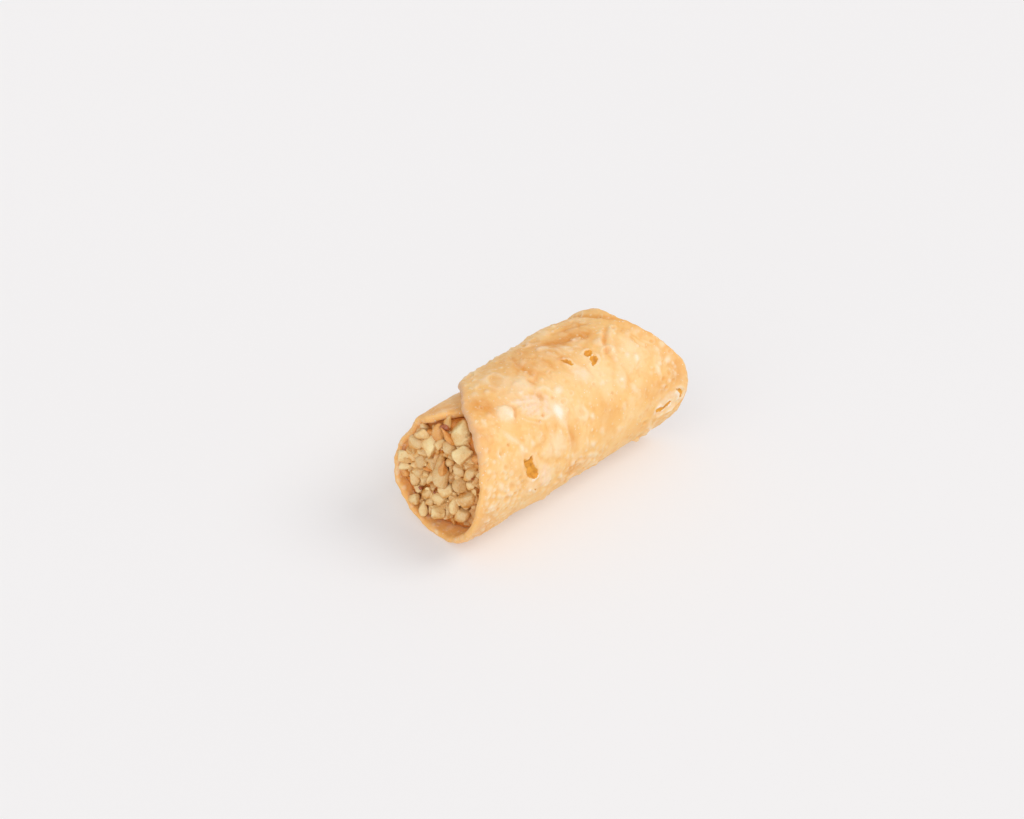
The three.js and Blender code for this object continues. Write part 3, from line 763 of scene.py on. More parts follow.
def faceAlong(mouth, y, z):  # where along the roll a mouth's face of filling stands
    up = z - roll["axisHeight"]
    inward = filling["dome"] * (y * y + up * up) - mouth["side"] * y
    inward = inward + filling["draw"] * np.maximum(0, z - filling["drawFrom"])
    return mouth["along"] - mouth["out"] * inward


def makeSweetFilling():
    selectNothing()
    bpy.ops.mesh.primitive_uv_sphere_add(segments=96, ring_count=64, radius=1, rotation=(0, math.pi / 2, 0))
    piece = bpy.context.object
    bpy.ops.object.transform_apply(location=False, rotation=True, scale=True)
    piece.name = piece.data.name = "sweetFilling"
    ball = pointsOf(piece.data)
    turn = np.degrees(np.arctan2(ball[:, 1], ball[:, 2]))
    share = np.minimum(1, np.hypot(ball[:, 1], ball[:, 2]) / 0.6)  # the ball is squared off into a plug
    between = np.clip(ball[:, 0] / 0.8, -1, 1) * 0.5 + 0.5
    middle = filling["front"]["along"] * (1 - between) + filling["back"]["along"] * between
    points = onRoll(middle, turn, (freeRadius(middle, turn) + filling["pressed"]) * share)
    front = faceAlong(filling["front"], points[:, 1], points[:, 2])
    back = faceAlong(filling["back"], points[:, 1], points[:, 2])
    points[:, 0] = front * (1 - between) + back * between
    lumps = filling["lumps"] * softNoise(points[:, 1], points[:, 2], filling["lumpSize"], filling["lumpSeed"])
    points[:, 0] += np.where(between < 0.02, lumps, np.where(between > 0.98, -lumps, 0))
    movePoints(piece.data, intoFrame(points))
    selectOnly(piece)
    startEditing()
    bpy.ops.mesh.normals_make_consistent(inside=False)
    stopEditing()
    bpy.ops.object.shade_smooth()
    return piece


fillingPiece = makeSweetFilling()
print("sweet filling done")

# Chopped nuts at both mouths.
nuts = {
    "seed": 77,
    "shapeSeed": 5,
    "lumps": 0.13,
    "grain": 0.07,  # small unevenness all over
    "evenness": 0.11,  # how fine the faces of a finely made one are
    "rounded": 2,  # how often a nut's broken edges are softened
    "kept": 0.4,  # share of its faces that a plain one keeps
    "drawnUp": 1.08,  # how much longer a pointed one gets
    "fineEdge": 60,  # edges sharper than this stay sharp
    "plainEdge": 48,
    "beneath": {"count": 140, "stands": 0.1, "sizes": (2.6, 4.1)},  # they show between the large ones
    "atBack": {"count": 210, "stands": 1.3, "sizes": (2.8, 4.8)},
    "standsMore": 0.6,
    "shapeShares": {"chunk": 0.52, "wedge": 0.2, "round": 0.2, "sliver": 0.08},
    "kindShares": {"pale": 0.93, "toasted": 0.05, "skinned": 0.02},
    "skinnedSize": 0.6,
    "proportions": [(0.75, 1), (0.65, 0.95), (0.9, 1.25)],
    "goldenTurn": 137.5,
    "turnDrift": 8,
    "outward": 0.44,  # 0.5 strews them evenly, less puts more of them by the dough
    "deep": (0.9, 1.15),
    "swell": 1.14,  # the large ones press against each other
    "clear": 0.12,  # kept between nuts and dough
    "creviceShadeTo": -0.6,  # painted shade darkens what stands less far out of the filling than this
    "unshadedFrom": 2.0,
    "inwardShade": (-0.3, 0.62),  # painted shade also darkens the side of a nut that faces in
}

# Chopped nuts come in a few shapes. Each is cut from a small lumpy ball: how many shapes, how many cuts, how
# far out the cuts pass, and how much its top is drawn to a point.
nutShapes = {
    "chunk": {"count": 8, "cuts": 9, "reach": (0.42, 0.7), "point": 1.0},
    "wedge": {"count": 5, "cuts": 6, "reach": (0.28, 0.7), "point": 0.7},
    "round": {"count": 4, "cuts": 4, "reach": (0.58, 0.85), "point": 0.9},
    "sliver": {"count": 3, "cuts": 5, "reach": (0.4, 0.8), "point": 0.4},
    "almond": {"count": 2, "cuts": 2, "reach": (0.62, 0.8), "point": 0.5},
}


def selectAbove(piece, height):
    mesh = piece.data
    for vertex in mesh.vertices:
        vertex.select = vertex.co.z > height
    for part in (*mesh.edges, *mesh.polygons):
        part.select = all(mesh.vertices[v].select for v in part.vertices)


def pushOut(chance, amount):
    bpy.ops.transform.vertex_random(offset=amount, seed=int(chance.integers(1000)))


def reshape(piece, kind, **settings):  # one modifier, applied at once
    modifier = piece.modifiers.new(kind, kind)
    for name, value in settings.items():
        setattr(modifier, name, value)
    bpy.ops.object.modifier_apply(modifier=modifier.name)


def cutNut(chance, look, fine):
    selectNothing()
    bpy.ops.mesh.primitive_ico_sphere_add(subdivisions=1 if fine else 2, radius=1)
    nut = bpy.context.object
    startEditing(everything=False)
    if fine:  # a small ball with few corners, pushed out of shape and rounded again
        pushOut(chance, nuts["lumps"])
        bpy.ops.mesh.subdivide(number_cuts=3, smoothness=1.0)
    for k in range(look["cuts"]):
        way = Vector(chance.normal(size=3)).normalized()
        place = way * chance.uniform(*look["reach"])
        bpy.ops.mesh.select_all(action="SELECT")
        bpy.ops.mesh.bisect(plane_co=place, plane_no=way, use_fill=True, clear_outer=True)
    stopEditing()
    for height in (0.05, 0.5):  # its top is drawn in twice, so it tapers
        selectAbove(nut, height)
        startEditing(everything=False)
        if look["point"] < 1:
            slimmer = look["point"] ** 0.5
            scale = (slimmer, slimmer, nuts["drawnUp"])
            bpy.ops.transform.resize(value=scale, center_override=(0, 0, height))
        stopEditing()
    if fine:
        reshape(nut, "REMESH", mode="VOXEL", voxel_size=nuts["evenness"])
        startEditing()
        pushOut(chance, nuts["grain"])
        stopEditing()
        reshape(nut, "SMOOTH", factor=0.5, iterations=nuts["rounded"])
    else:
        reshape(nut, "DECIMATE", ratio=nuts["kept"])
    points = pointsOf(nut.data)
    low, high = points.min(0), points.max(0)
    movePoints(nut.data, (points - (low + high) / 2) / ((high - low) / 2))
    bpy.ops.object.shade_smooth_by_angle(angle=math.radians(nuts["fineEdge"] if fine else nuts["plainEdge"]))
    return nut


chance = np.random.default_rng(nuts["shapeSeed"])
cutNuts = {}  # finely made ones for the mouth that shows, plain ones for the many small bits
for shapeName, look in nutShapes.items():
    for fine in (True, False):
        cutNuts[shapeName, fine] = [cutNut(chance, look, fine) for k in range(look["count"])]
print("nut shapes cut:", sum(len(shapes) for shapes in cutNuts.values()))

# Nuts at the front mouth one by one: along, y, z, width, height, lean, tone (0 greyish, 1 yellow), and what
# it is when it isn't a pale chunk.
mouthNuts = [
    (-35.2, 7.9, 31.2, 4.1, 3, 30, 0.62), (-34, 6, 32.4, 1.9, 1.7, 20, 0.8, "chunk", "toasted"),
    (-35, 5.1, 28.6, 4.3, 6.9, 12, 1), (-33.3, 3.2, 33.2, 3.7, 4.8, 8, 0.3, "round", "toasted"),
    (-33.9, -0.9, 34, 2.1, 5.8, -38, 0.9, "sliver", "toasted"),
    (-30.4, -3.5, 34.4, 5.9, 7.3, 6, 0.75, "round", "pale"), (-31.3, 1.4, 36.6, 2.2, 3.6, 8, 0.15),
    (-32.4, 1.5, 35.3, 2.7, 1.9, 20, 0.5, "round", "skinned"),
    (-33.6, -6.6, 29.9, 5.9, 5.2, 14, 0.95, "wedge", "pale"),
    (-33.9, -1.6, 30.4, 3.6, 4, -30, 0.2, "round", "pale"), (-34.6, 1.5, 30.5, 2.4, 3.6, 35, 0.85),
    (-34.6, 11, 27.3, 4.6, 4.6, 30, 0.35), (-36.1, 14.3, 21.1, 4.5, 3.2, 6, 0.8),
    (-36, 14.6, 17.9, 3.7, 2.9, 4, 0.75, "round", "pale"),
    (-34.9, 8.8, 21.9, 3.5, 4.7, 12, 0.1, "round", "pale"),
    (-34.6, 10.1, 16.9, 3.2, 3.5, -10, 0.3, "round", "pale"),
    (-35.4, 0.4, 22.6, 4.5, 9.9, 4, 0.25, "almond", "pale"),
    (-36.1, -0.9, 23.9, 2.6, 4.2, 10, 0.55, "sliver", "toasted"),
    (-35.3, 6, 20.2, 2.7, 1.3, 14, 1, "sliver", "toasted"), (-34.1, 4.4, 23.4, 3.6, 3.6, 0, 0.05),
    (-35.3, 11.6, 14.4, 3.3, 4.1, 16, 0.5), (-35.3, 7.4, 15.9, 2.2, 3.5, -8, 0.45),
    (-35.2, 4.6, 17.8, 2.4, 3.8, 16, 0.6), (-33.9, -5.7, 24.5, 3.7, 3.4, 24, 0.35, "wedge", "pale"),
    (-32.9, -8.6, 26.6, 2.6, 2.4, 0, 0.15), (-33.8, -9.8, 25.2, 2.6, 4.8, 34, 0.35),
    (-33.3, -2.5, 20.4, 3.4, 3.8, 0, 0.05), (-34.1, -5.6, 19.4, 3.9, 4.5, 0, 0.15, "round", "pale"),
    (-33, -9.2, 20.7, 2.6, 3.4, 8, 0.9), (-35.1, -0.9, 16.2, 4.2, 4.8, -6, 1),
    (-35.3, 1.5, 11.6, 4.5, 4, 10, 0.75), (-34.1, -8.5, 15.6, 4.9, 4.6, -5, 0.45),
    (-34.6, -4, 11.8, 2.8, 5.4, 8, 0.85, "round", "pale"), (-35.4, 1.9, 6.2, 3.9, 3.9, 20, 0.85),
    (-36.4, 7.1, 5.9, 2.6, 4.2, 0, 0.8, "round", "pale"), (-36.6, 10.6, 8, 3.4, 3.2, 24, 0.6),
    (-34, -6.6, 9.3, 4, 4.8, 34, 0.5), (-35.2, 6.5, 11.3, 3.2, 2.9, -20, 0.5),
    (-35.2, 5.3, 8.5, 2.9, 2.5, -16, 0.3), (-33.6, -1.6, 8, 2.9, 4.3, 6, 0.05),
    (-34.8, 4.8, 5.9, 2.3, 3.2, 10, 0.2), (-35.4, 10.2, 11.4, 2.3, 2.6, 0, 0.4),
    (-32.4, -10.9, 29.7, 2.6, 2.6, 0, 0.4, "chunk", "toasted"), (-33, -11.2, 22.8, 2, 2.6, 12, 0.4),
    (-36, 8.6, 12.4, 1.2, 1, 20, 0.9, "chunk", "skinned"),
    (-34.6, -11.4, 24.3, 0.7, 0.6, 0, 0.6, "chunk", "skinned"),
    (-35.8, 3, 13.4, 0.9, 0.5, 40, 0.8, "chunk", "skinned"),
]

# The large bits lie with their flat sides facing out of the mouth and a little up.
mouthSide = Vector((0.679, -0.734, 0))
mouthRise = Vector((0.400, 0.370, 0.838))
mouthOut = Vector((-0.615, -0.570, 0.545))
backMouthOut = Vector((0.8, 0, 0.6))


def randomTurn(chance):
    way = chance.normal(size=4)
    way /= np.linalg.norm(way)
    w, x, y, z = way
    return Matrix(((1 - 2 * (y * y + z * z), 2 * (x * y - z * w), 2 * (x * z + y * w)),
                   (2 * (x * y + z * w), 1 - 2 * (x * x + z * z), 2 * (y * z - x * w)),
                   (2 * (x * z - y * w), 2 * (y * z + x * w), 1 - 2 * (x * x + y * y))))


def pick(chance, shares):
    return chance.choice(list(shares), p=list(shares.values()))


def copyNut(shape, turned, size, place, out, tone, chance):
    nut = shape.copy()
    nut.data = shape.data.copy()
    bpy.context.collection.objects.link(nut)
    local = Matrix.Diagonal(Vector(size) / 2)
    matrix = (turned @ local).to_4x4()
    matrix.translation = Vector(place)
    nut.data.transform(matrix)
    outward = (pointsOf(nut.data) - np.array(place)) @ np.array(out)
    count = len(nut.data.vertices)
    # painted shade on the side of the nut that faces into the filling
    storeOnPoints(nut.data, "inwardShade", 1 - smoothStep(outward / outward.max(), *nuts["inwardShade"]))
    storeOnPoints(nut.data, "tone", np.full(count, tone))
    storeOnPoints(nut.data, "grain", np.full(count, chance.uniform(0, 50)))
    return nut


def placeNuts():
    chance = np.random.default_rng(nuts["seed"])
    kinds = {kind: [] for kind in nuts["kindShares"]}
    for along, y, z, width, high, lean, tone, *other in mouthNuts:
        shapeName, kind = other or ("chunk", "pale")
        shapes = cutNuts[shapeName, True]
        shape = shapes[chance.integers(len(shapes))]
        angle = math.radians(lean)
        side = mouthSide * math.cos(angle) - mouthRise * math.sin(angle)
        rise = mouthRise * math.cos(angle) + mouthSide * math.sin(angle)
        turned = Matrix((side, -mouthOut, rise)).transposed()
        deep = min(width, high) * chance.uniform(*nuts["deep"])
        size = (width * nuts["swell"], deep, high * nuts["swell"])
        kinds[kind].append(copyNut(shape, turned, size, (along, y, z), mouthOut, tone, chance))
    for mouth, heap, facing in (("front", nuts["beneath"], mouthOut), ("back", nuts["atBack"], backMouthOut)):
        mouth = filling[mouth]
        for k in range(heap["count"]):
            turn = k * nuts["goldenTurn"] + chance.uniform(-nuts["turnDrift"], nuts["turnDrift"])
            size = chance.uniform(*heap["sizes"])
            room = float(freeRadius(np.array(mouth["along"]), np.array(turn))) - size * 0.4
            reach = room * ((k + 0.5) / heap["count"]) ** nuts["outward"]
            y = reach * math.sin(math.radians(turn))
            z = roll["axisHeight"] + reach * math.cos(math.radians(turn))
            stands = heap["stands"] + chance.uniform(-nuts["standsMore"], nuts["standsMore"])
            place = (float(faceAlong(mouth, y, z)) + mouth["out"] * stands, y, z)
            shapes = cutNuts[pick(chance, nuts["shapeShares"]), False]
            shape = shapes[chance.integers(len(shapes))]
            kind = pick(chance, nuts["kindShares"])
            if kind == "skinned":
                size *= nuts["skinnedSize"]
            sizes = [size * chance.uniform(*span) for span in nuts["proportions"]]
            tone = chance.uniform(0, 1)
            turned = randomTurn(chance)
            kinds[kind].append(copyNut(shape, turned, sizes, place, facing, tone, chance))
    return kinds


def joinNuts(name, copies):
    selectNothing()
    for nut in copies:
        nut.select_set(True)
    bpy.context.view_layer.objects.active = copies[0]
    bpy.ops.object.join()
    piece = bpy.context.object
    piece.name = piece.data.name = name
    points = pointsOf(piece.data)
    up = points[:, 2] - roll["axisHeight"]
    turn = np.degrees(np.arctan2(points[:, 1], up))
    reach = np.hypot(points[:, 1], up)
    room = freeRadius(points[:, 0], turn) + filling["gap"] - nuts["clear"]
    inDough = smoothStep(points[:, 0] - frontEdge(np.where(turn < roll["start"], turn + 360, turn)), -0.5, 0)
    room = room * inDough + 99 * (1 - inDough)  # out of the dough it has all the room it wants
    ease = np.where(reach > room, room / np.maximum(reach, 1e-6), 1)  # pressed flat where it meets the dough
    points[:, 1] *= ease
    points[:, 2] = roll["axisHeight"] + up * ease
    movePoints(piece.data, intoFrame(points))
    beforeFront = faceAlong(filling["front"], points[:, 1], points[:, 2]) - points[:, 0]
    pastBack = points[:, 0] - faceAlong(filling["back"], points[:, 1], points[:, 2])
    proud = np.where(points[:, 0] < 0, beforeFront, pastBack)
    # painted shade on what stands little out of the filling, down among the nuts
    storeOnPoints(piece.data, "creviceShade", 1 - smoothStep(proud, nuts["creviceShadeTo"], nuts["unshadedFrom"]))
    return piece


nutCopies = placeNuts()
paleNuts = joinNuts("paleNuts", nutCopies["pale"])
toastedNuts = joinNuts("toastedNuts", nutCopies["toasted"])
skinnedNuts = joinNuts("skinnedNuts", nutCopies["skinned"])
for shapes in cutNuts.values():
    for shape in shapes:
        bpy.data.objects.remove(shape)
print("nuts:", [(p.name, len(p.data.polygons)) for p in (paleNuts, toastedNuts, skinnedNuts)])


def paint(red, green, blue):  # a colour as a painter mixes it, 0 to 255
    def linear(value):
        value /= 255
        return value / 12.92 if value <= 0.04045 else ((value + 0.055) / 1.055) ** 2.4
    return (linear(red), linear(green), linear(blue), 1)


def fillInputs(tree, node, inputs):
    for name, value in inputs.items():
        if isinstance(value, bpy.types.NodeSocket):
            tree.links.new(value, node.inputs[name])
        else:
            node.inputs[name].default_value = value
    return node


def addNode(tree, kind, inputs=None, **settings):
    made = tree.nodes.new("ShaderNode" + kind)
    for name, value in settings.items():
        setattr(made, name, value)
    return fillInputs(tree, made, inputs or {})


def treeOf(*values):  # the tree in which the first socket among them lies
    return next(value.id_data for value in values if isinstance(value, bpy.types.NodeSocket))


def readAttribute(tree, name, kind="Fac"):
    return addNode(tree, "Attribute", attribute_name=name).outputs[kind]


def calculate(how, a, b, clamp=False):
    return addNode(treeOf(a, b), "Math", {0: a, 1: b}, operation=how, use_clamp=clamp).outputs[0]


def times(a, b, clamp=False):
    return calculate("MULTIPLY", a, b, clamp)


def plus(a, b, clamp=False):
    return calculate("ADD", a, b, clamp)


def blend(share, under, over):
    inputs = {0: share, 6: under, 7: over}
    return addNode(treeOf(share, under, over), "Mix", inputs, data_type="RGBA").outputs[2]


def spread(value, low, high, toLow=0.0, toHigh=1.0, smooth=True):
    how = "SMOOTHSTEP" if smooth else "LINEAR"
    inputs = {0: value, 1: low, 2: high, 3: toLow, 4: toHigh}
    return addNode(treeOf(value), "MapRange", inputs, interpolation_type=how).outputs[0]


def noiseOf(place, scale, detail=3.0, rough=0.55):
    inputs = {"Vector": place, "Scale": scale, "Detail": detail, "Roughness": rough}
    return addNode(treeOf(place), "TexNoise", inputs).outputs[0]


def cellsOf(place, scale, channel):  # small cells: how far it is to a cell's middle, and the cell's own value
    tree = treeOf(place)
    cells = addNode(tree, "TexVoronoi", {"Vector": place, "Scale": scale, "Randomness": 1.0}, feature="F1")
    values = addNode(tree, "SeparateColor", {0: cells.outputs["Color"]})
    return cells.outputs["Distance"], values.outputs[channel]


def newGroup(name, inputs, outputs):
    group = bpy.data.node_groups.new(name, "ShaderNodeTree")
    for socketName, kind, value in inputs:
        socket = group.interface.new_socket(socketName, in_out="INPUT", socket_type=kind)
        if value is not None:
            socket.default_value = value
    for socketName, kind in outputs:
        group.interface.new_socket(socketName, in_out="OUTPUT", socket_type=kind)
    return group, group.nodes.new("NodeGroupInput"), group.nodes.new("NodeGroupOutput")


def placeGroup(tree, group, inputs):
    return fillInputs(tree, addNode(tree, "Group", node_tree=group), inputs)


# Fine crumb: a mottle from dark to light and a fine height, used by dough, filling and nuts alike.
crumb = {
    "broad": (0.6, 4, 0.6),
    "fine": (3.2, 3, 0.6),
    "broadShare": 0.65,
    "fineShare": 0.35,
}


def makeFineCrumb():
    group, enter, leave = newGroup(
        "fineCrumb",
        [("Place", "NodeSocketVector", None), ("Size", "NodeSocketFloat", 1.0)],
        [("Mottle", "NodeSocketFloat"), ("Height", "NodeSocketFloat")])
    inputs = {0: enter.outputs["Place"], "Scale": enter.outputs["Size"]}
    scaled = addNode(group, "VectorMath", inputs, operation="SCALE").outputs[0]
    broad = noiseOf(scaled, *crumb["broad"])
    fine = noiseOf(scaled, *crumb["fine"])
    mottle = plus(times(broad, crumb["broadShare"]), times(fine, crumb["fineShare"]))
    fillInputs(group, leave, {"Mottle": mottle, "Height": fine})
    return group


fineCrumb = makeFineCrumb()


def newMaterial(name):
    material = bpy.data.materials.new(name)
    material.use_nodes = True
    tree = material.node_tree
    return material, tree, tree.nodes["Principled BSDF"]


def bumpOf(tree, look, height):
    inputs = {"Strength": look["bump"], "Distance": look["bumpReach"] * mm, "Height": height}
    return addNode(tree, "Bump", inputs).outputs[0]


dough = {
    "golden": paint(247, 194, 118),
    "pale": paint(249, 207, 144),
    "deep": paint(241, 174, 92),
    "browned": paint(228, 152, 66),
    "blister": paint(250, 226, 190),
    "cream": paint(252, 242, 228),
    "pinkish": paint(249, 214, 186),
    "amber": paint(236, 166, 58),
    "darkAmber": paint(198, 126, 38),
    "inner": paint(253, 194, 114),
    # painted shade for the flap's front edge
    "flapEdgeShade": paint(221, 177, 138),
    # sizes, detail and roughness of the patterns
    "broad": (0.13, 3, 0.5),
    "patches": (0.31, 3, 0.55),
    "swells": (1.1, 3, 0.6),
    "tornWander": (1.5, 2),
    "tornPatches": (0.5, 2),
    "bubbles": 0.7,
    "specks": 1.5,
    # where a layer of colour comes in, from and to, and its share at both ends
    "paleFrom": (0.38, 0.66),
    "deepFrom": (0.52, 0.74, 0, 0.6),
    "mottleFrom": (0.42, 0.66, 0, 0.4),
    "raisedFrom": (0.05, 0.55, 0, 0.3),
    "hollowFrom": (-0.05, -0.5, 0, 0.6),
    "brownInPatches": (0.3, 0.6, 0.6, 1.0),
    "bubbleDome": (0.42, 0.08),
    "bubblesThatShow": (0.5, 0.9),
    "speckDome": (0.34, 0.14),
    "specksThatShow": (0.93, 0.99),
    "raggedFrom": (0.05, 0.6, 0, 0.7),
    "thinFrom": (0.02, 1.1, 0, 0.85, False),
    "thinnestFrom": (0.75, 1.5, 0, 0.8),
    "pinkFrom": (0.2, 0.9),
    "pinkInMottle": (0.38, 0.62, 0.15, 0.9),
    "pinkUnlessBrown": (0.2, 0.8, 1, 0),
    "flapEdgeShadeInMottle": (0.35, 0.6, 0.55, 1.0),
    "darkTornFrom": (0.4, 0.7, 0, 0.8),
    "tornFrom": (0.12, -0.08),
    "roughness": (0.3, 0.7, 0.4, 0.58, False),
    # plain shares
    "insideShare": 0.8,
    "rimShare": 0.42,
    "bubbleShare": 0.4,
    "moreSpecksAtRim": 0.12,
    "speckShare": 0.75,
    "underShare": 0.3,
    "tornWanders": 0.9,
    "paleRoughness": 0.08,
    "bubbleHeight": 0.5,
    "crumbHeight": 0.35,
    "swellHeight": 0.6,
    "speckHeight": 0.4,
    "bump": 0.5,
    "bumpReach": 0.35,
}


def friedDough():
    material, tree, shader = newMaterial("friedDough")
    place = readAttribute(tree, "doughPlace", "Vector")
    names = ("relief", "pale", "brown", "pink", "tear", "inside", "under", "rim", "cut")
    relief, pale, brown, pink, tear, inside, under, rim, cut = [readAttribute(tree, name) for name in names]
    fine = placeGroup(tree, fineCrumb, {"Place": place, "Size": 1.0})
    mottle, crumbly = fine.outputs["Mottle"], fine.outputs["Height"]

    def layer(value, name):  # how much of a layer there is where the value is so high
        return spread(value, *dough[name])

    patches = noiseOf(place, *dough["patches"])
    browned = times(brown, layer(patches, "brownInPatches"), True)
    # Tiny bubbles all over, a few of them pale, and finer bright specks, partly pale skin and partly painted
    # glints.
    bubbles, bubbleValue = cellsOf(place, dough["bubbles"], 0)
    bubbleMask = times(layer(bubbles, "bubbleDome"), layer(bubbleValue, "bubblesThatShow"))
    specks, speckValue = cellsOf(place, dough["specks"], 1)
    speckValue = plus(speckValue, times(rim, dough["moreSpecksAtRim"]))
    speckMask = times(layer(specks, "speckDome"), layer(speckValue, "specksThatShow"))
    ragged = calculate("SUBTRACT", crumbly, 0.5)
    paleMask = plus(pale, times(ragged, layer(pale, "raggedFrom")))
    pinkMask = times(layer(pink, "pinkFrom"), layer(mottle, "pinkInMottle"))
    pinkMask = times(pinkMask, layer(brown, "pinkUnlessBrown"))
    wander = times(calculate("SUBTRACT", noiseOf(place, *dough["tornWander"]), 0.5), dough["tornWanders"])
    darker = layer(noiseOf(place, *dough["tornPatches"]), "darkTornFrom")
    tornFloor = blend(darker, dough["amber"], dough["darkAmber"])

    colour = blend(layer(noiseOf(place, *dough["broad"]), "paleFrom"), dough["golden"], dough["pale"])
    layers = [
        (layer(patches, "deepFrom"), dough["deep"]),
        (layer(mottle, "mottleFrom"), dough["pale"]),
        (layer(relief, "raisedFrom"), dough["blister"]),  # raised skin is thin and pale, and the paling is partly painted light on the raised parts
        (layer(relief, "hollowFrom"), dough["deep"]),  # hollows hold the oil and brown, and the darkening is partly painted shade
        (browned, dough["browned"]),
        (times(inside, dough["insideShare"]), dough["inner"]),
        (times(rim, dough["rimShare"]), dough["deep"]),
        (times(bubbleMask, dough["bubbleShare"]), dough["blister"]),
        # bright specks, in part painted glints
        (times(speckMask, dough["speckShare"]), dough["cream"]),
        (layer(paleMask, "thinFrom"), dough["blister"]),
        (layer(paleMask, "thinnestFrom"), dough["cream"]),
        (pinkMask, dough["pinkish"]),
        (times(under, dough["underShare"]), dough["golden"]),
        (times(cut, layer(mottle, "flapEdgeShadeInMottle")), dough["flapEdgeShade"]),
        (layer(plus(tear, wander), "tornFrom"), tornFloor),
    ]
    for share, tint in layers:
        colour = blend(share, colour, tint)

    heights = [
        (bubbleMask, dough["bubbleHeight"]),
        (crumbly, dough["crumbHeight"]),
        (noiseOf(place, *dough["swells"]), dough["swellHeight"]),
        (speckMask, dough["speckHeight"]),
    ]
    height = 0.0
    for value, share in heights:
        height = plus(height, times(value, share))
    fillInputs(tree, shader, {
        "Base Color": colour,
        "Roughness": plus(layer(mottle, "roughness"), times(paleMask, dough["paleRoughness"]), True),
        "Normal": bumpOf(tree, dough, height),
        "Specular IOR Level": 0.35,
        "Subsurface Weight": 0.12,
        "Subsurface Radius": (1.0, 0.5, 0.22),
        "Subsurface Scale": 1.2 * mm,
    })
    return material


# Nuts and filling share one way of colouring. It has the same kinds of entry as the dough.
nutTones = {
    "crumbSize": 0.9,
    "stainPatches": (0.3, 2, 0.5),
    "brokenPatches": (1.2, 2, 0.6),
    "stainFrom": (0.44, 0.7, 0, 0.4),
    "creviceShadeInMottle": (0.3, 0.6, 0.6, 1.0),
    "brokenFrom": (0.5, 0.3, 0, 0.22),
    "fleckFrom": (1.06, 1.32, 0, 0.25),
    "roughness": (0.3, 0.7, 0.2, 0.4, False),
    "inwardShadeShare": 0.92,
    "brokenHeight": 1.1,
    "crumbHeight": 0.6,
    "lightFrom": 0.5,  # the light flecks are this light at least
    "bump": 0.5,
    "bumpReach": 0.3,
}


def makeNutTone():
    group, enter, leave = newGroup(
        "nutTone",
        [(name, "NodeSocketColor", None) for name in ("Greyish", "Yellow", "Deep", "Light")],
        [("Colour", "NodeSocketColor"), ("Roughness", "NodeSocketFloat"), ("Height", "NodeSocketFloat")])
    deep = enter.outputs["Deep"]
    metres = addNode(group, "TexCoord").outputs["Object"]
    place = addNode(group, "VectorMath", {0: metres, "Scale": 1 / mm}, operation="SCALE").outputs[0]
    grain = readAttribute(group, "grain")  # every nut has its own part of the pattern
    place = addNode(group, "VectorMath", {0: place, 1: grain}, operation="ADD").outputs[0]
    fine = placeGroup(group, fineCrumb, {"Place": place, "Size": nutTones["crumbSize"]})
    mottle, crumbly = fine.outputs["Mottle"], fine.outputs["Height"]
    stain = spread(noiseOf(place, *nutTones["stainPatches"]), *nutTones["stainFrom"])
    # painted shade: the inward sides of the nuts go towards the deep tone
    inwardShade = times(readAttribute(group, "inwardShade"), nutTones["inwardShadeShare"])
    # painted shade where the nuts sit low, taken together with that on their inward sides
    creviceShade = calculate("MAXIMUM", readAttribute(group, "creviceShade"), inwardShade)
    creviceShade = times(creviceShade, spread(mottle, *nutTones["creviceShadeInMottle"]))
    broken = noiseOf(place, *nutTones["brokenPatches"])
    fleck = spread(plus(crumbly, broken), *nutTones["fleckFrom"])

    colour = blend(readAttribute(group, "tone"), enter.outputs["Greyish"], enter.outputs["Yellow"])
    for share in (stain, creviceShade, spread(broken, *nutTones["brokenFrom"])):
        colour = blend(share, colour, deep)
    height = plus(times(broken, nutTones["brokenHeight"]), times(crumbly, nutTones["crumbHeight"]))
    fillInputs(group, leave, {
        "Colour": blend(fleck, colour, enter.outputs["Light"]),
        "Roughness": spread(mottle, *nutTones["roughness"]),
        "Height": height,
    })
    return group


nutTone = makeNutTone()
nutFinishes = {
    "paleNut": {"Greyish": (222, 182, 124), "Yellow": (252, 227, 168), "Deep": (222, 150, 42)},
    "toastedNut": {"Greyish": (232, 172, 100), "Yellow": (236, 168, 86), "Deep": (206, 124, 44)},
    "nutSkin": {"Greyish": (190, 108, 60), "Yellow": (170, 88, 42), "Deep": (136, 64, 30)},
    # the sweet cream is a deep orange-brown: partly its own tone, partly painted shade for the gaps between
    # the nuts where it shows
    "shadedSweetCream": {"Greyish": (226, 148, 66), "Yellow": (226, 148, 66), "Deep": (196, 116, 40)},
}


def nutFinish(name):
    material, tree, shader = newMaterial(name)
    colours = {tint: paint(*mixed) for tint, mixed in nutFinishes[name].items()}
    colours["Light"] = tuple(c * 0.45 + nutTones["lightFrom"] for c in colours["Yellow"][:3]) + (1,)
    tones = placeGroup(tree, nutTone, colours)
    fillInputs(tree, shader, {
        "Base Color": tones.outputs["Colour"],
        "Roughness": tones.outputs["Roughness"],
        "Normal": bumpOf(tree, nutTones, tones.outputs["Height"]),
        "Specular IOR Level": 0.5,
    })
    return material


def dress(piece, material):
    piece.data.materials.clear()
    piece.data.materials.append(material)
    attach(piece, "root")


dress(crustPiece, friedDough())
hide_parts("shell")
nutFilling = [
    (fillingPiece, "shadedSweetCream"),
    (paleNuts, "paleNut"),
    (toastedNuts, "toastedNut"),
    (skinnedNuts, "nutSkin"),
]
for piece, finish in nutFilling:
    dress(piece, nutFinish(finish))
    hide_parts("filling")
print("finishes on")

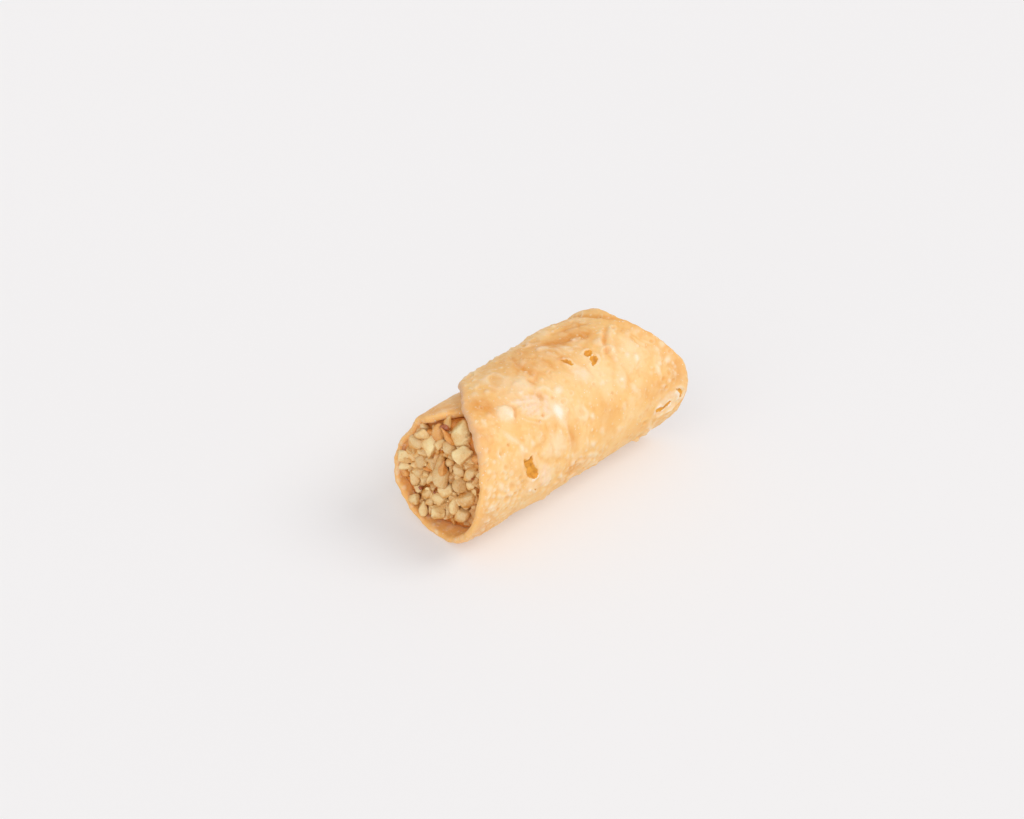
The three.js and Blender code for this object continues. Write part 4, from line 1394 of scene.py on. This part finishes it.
studio = {
    "floor": paint(200, 198, 198),
    "floorPaler": 1.01,
    "floorMottle": (3, 2),
    "floorMottleFrom": (0.3, 0.7),
    "paintedFloorGlow": paint(152, 151, 151),  # painted glow: the floor gives off light of its own, which keeps the shadows soft and lights the roll from below
    "floorSize": 40,  # metres
    "floorDrop": 0.05,
    "air": (0.98, 0.985, 1, 1),
    "airStrength": 0.62,
    "key": {"from": (0.48, -0.52, 0.72), "strength": 1.1, "softness": 34, "colour": (1, 0.985, 0.96)},
    "fill": {"from": (-0.80, -0.38, 0.46), "strength": 0.95, "softness": 70, "colour": (0.98, 0.99, 1)},
    "cameraAt": (-466.299, -421.828, 433.356),
    "lookAt": (-4.781, 5.542, 24.877),
    "lens": 87.89,
}

selectNothing()
bpy.ops.mesh.primitive_plane_add(size=studio["floorSize"], location=(0, 0, -studio["floorDrop"] * mm))
floor = bpy.context.object
floor.name = "floor"
floorMaterial, floorTree, floorShader = newMaterial("palePaper")
floorPlace = addNode(floorTree, "TexCoord").outputs["Object"]
floorTone = spread(noiseOf(floorPlace, *studio["floorMottle"]), *studio["floorMottleFrom"])
paler = tuple(min(1, c * studio["floorPaler"]) for c in studio["floor"][:3]) + (1,)
fillInputs(floorTree, floorShader, {
    "Base Color": blend(floorTone, studio["floor"], paler),
    "Roughness": 0.7,
    "Specular IOR Level": 0.1,
    # painted glow of the floor
    "Emission Color": studio["paintedFloorGlow"],
    "Emission Strength": 1.0,
})
floor.data.materials.append(floorMaterial)

scene = bpy.context.scene
scene.world = bpy.data.worlds.new("softRoom")
scene.world.use_nodes = True
air = scene.world.node_tree.nodes["Background"]
air.inputs["Color"].default_value = studio["air"]
air.inputs["Strength"].default_value = studio["airStrength"]

for name in ("key", "fill"):
    look = studio[name]
    bpy.ops.object.light_add(type="SUN", location=Vector(look["from"]))
    lamp = bpy.context.object
    lamp.name = name
    lamp.data.energy = look["strength"]
    lamp.data.angle = math.radians(look["softness"])
    lamp.data.color = look["colour"]
    lamp.rotation_euler = Vector(look["from"]).to_track_quat("Z", "Y").to_euler()

bpy.ops.object.camera_add(location=Vector(studio["cameraAt"]) * mm)
camera = bpy.context.object
sight = Vector(studio["cameraAt"]) - Vector(studio["lookAt"])
camera.rotation_euler = sight.to_track_quat("Z", "Y").to_euler()
camera.data.lens = studio["lens"]
camera.data.sensor_width = 36
camera.data.clip_start, camera.data.clip_end = 0.01, 50
scene.camera = camera
scene.view_settings.view_transform = "Standard"
print("studio set")
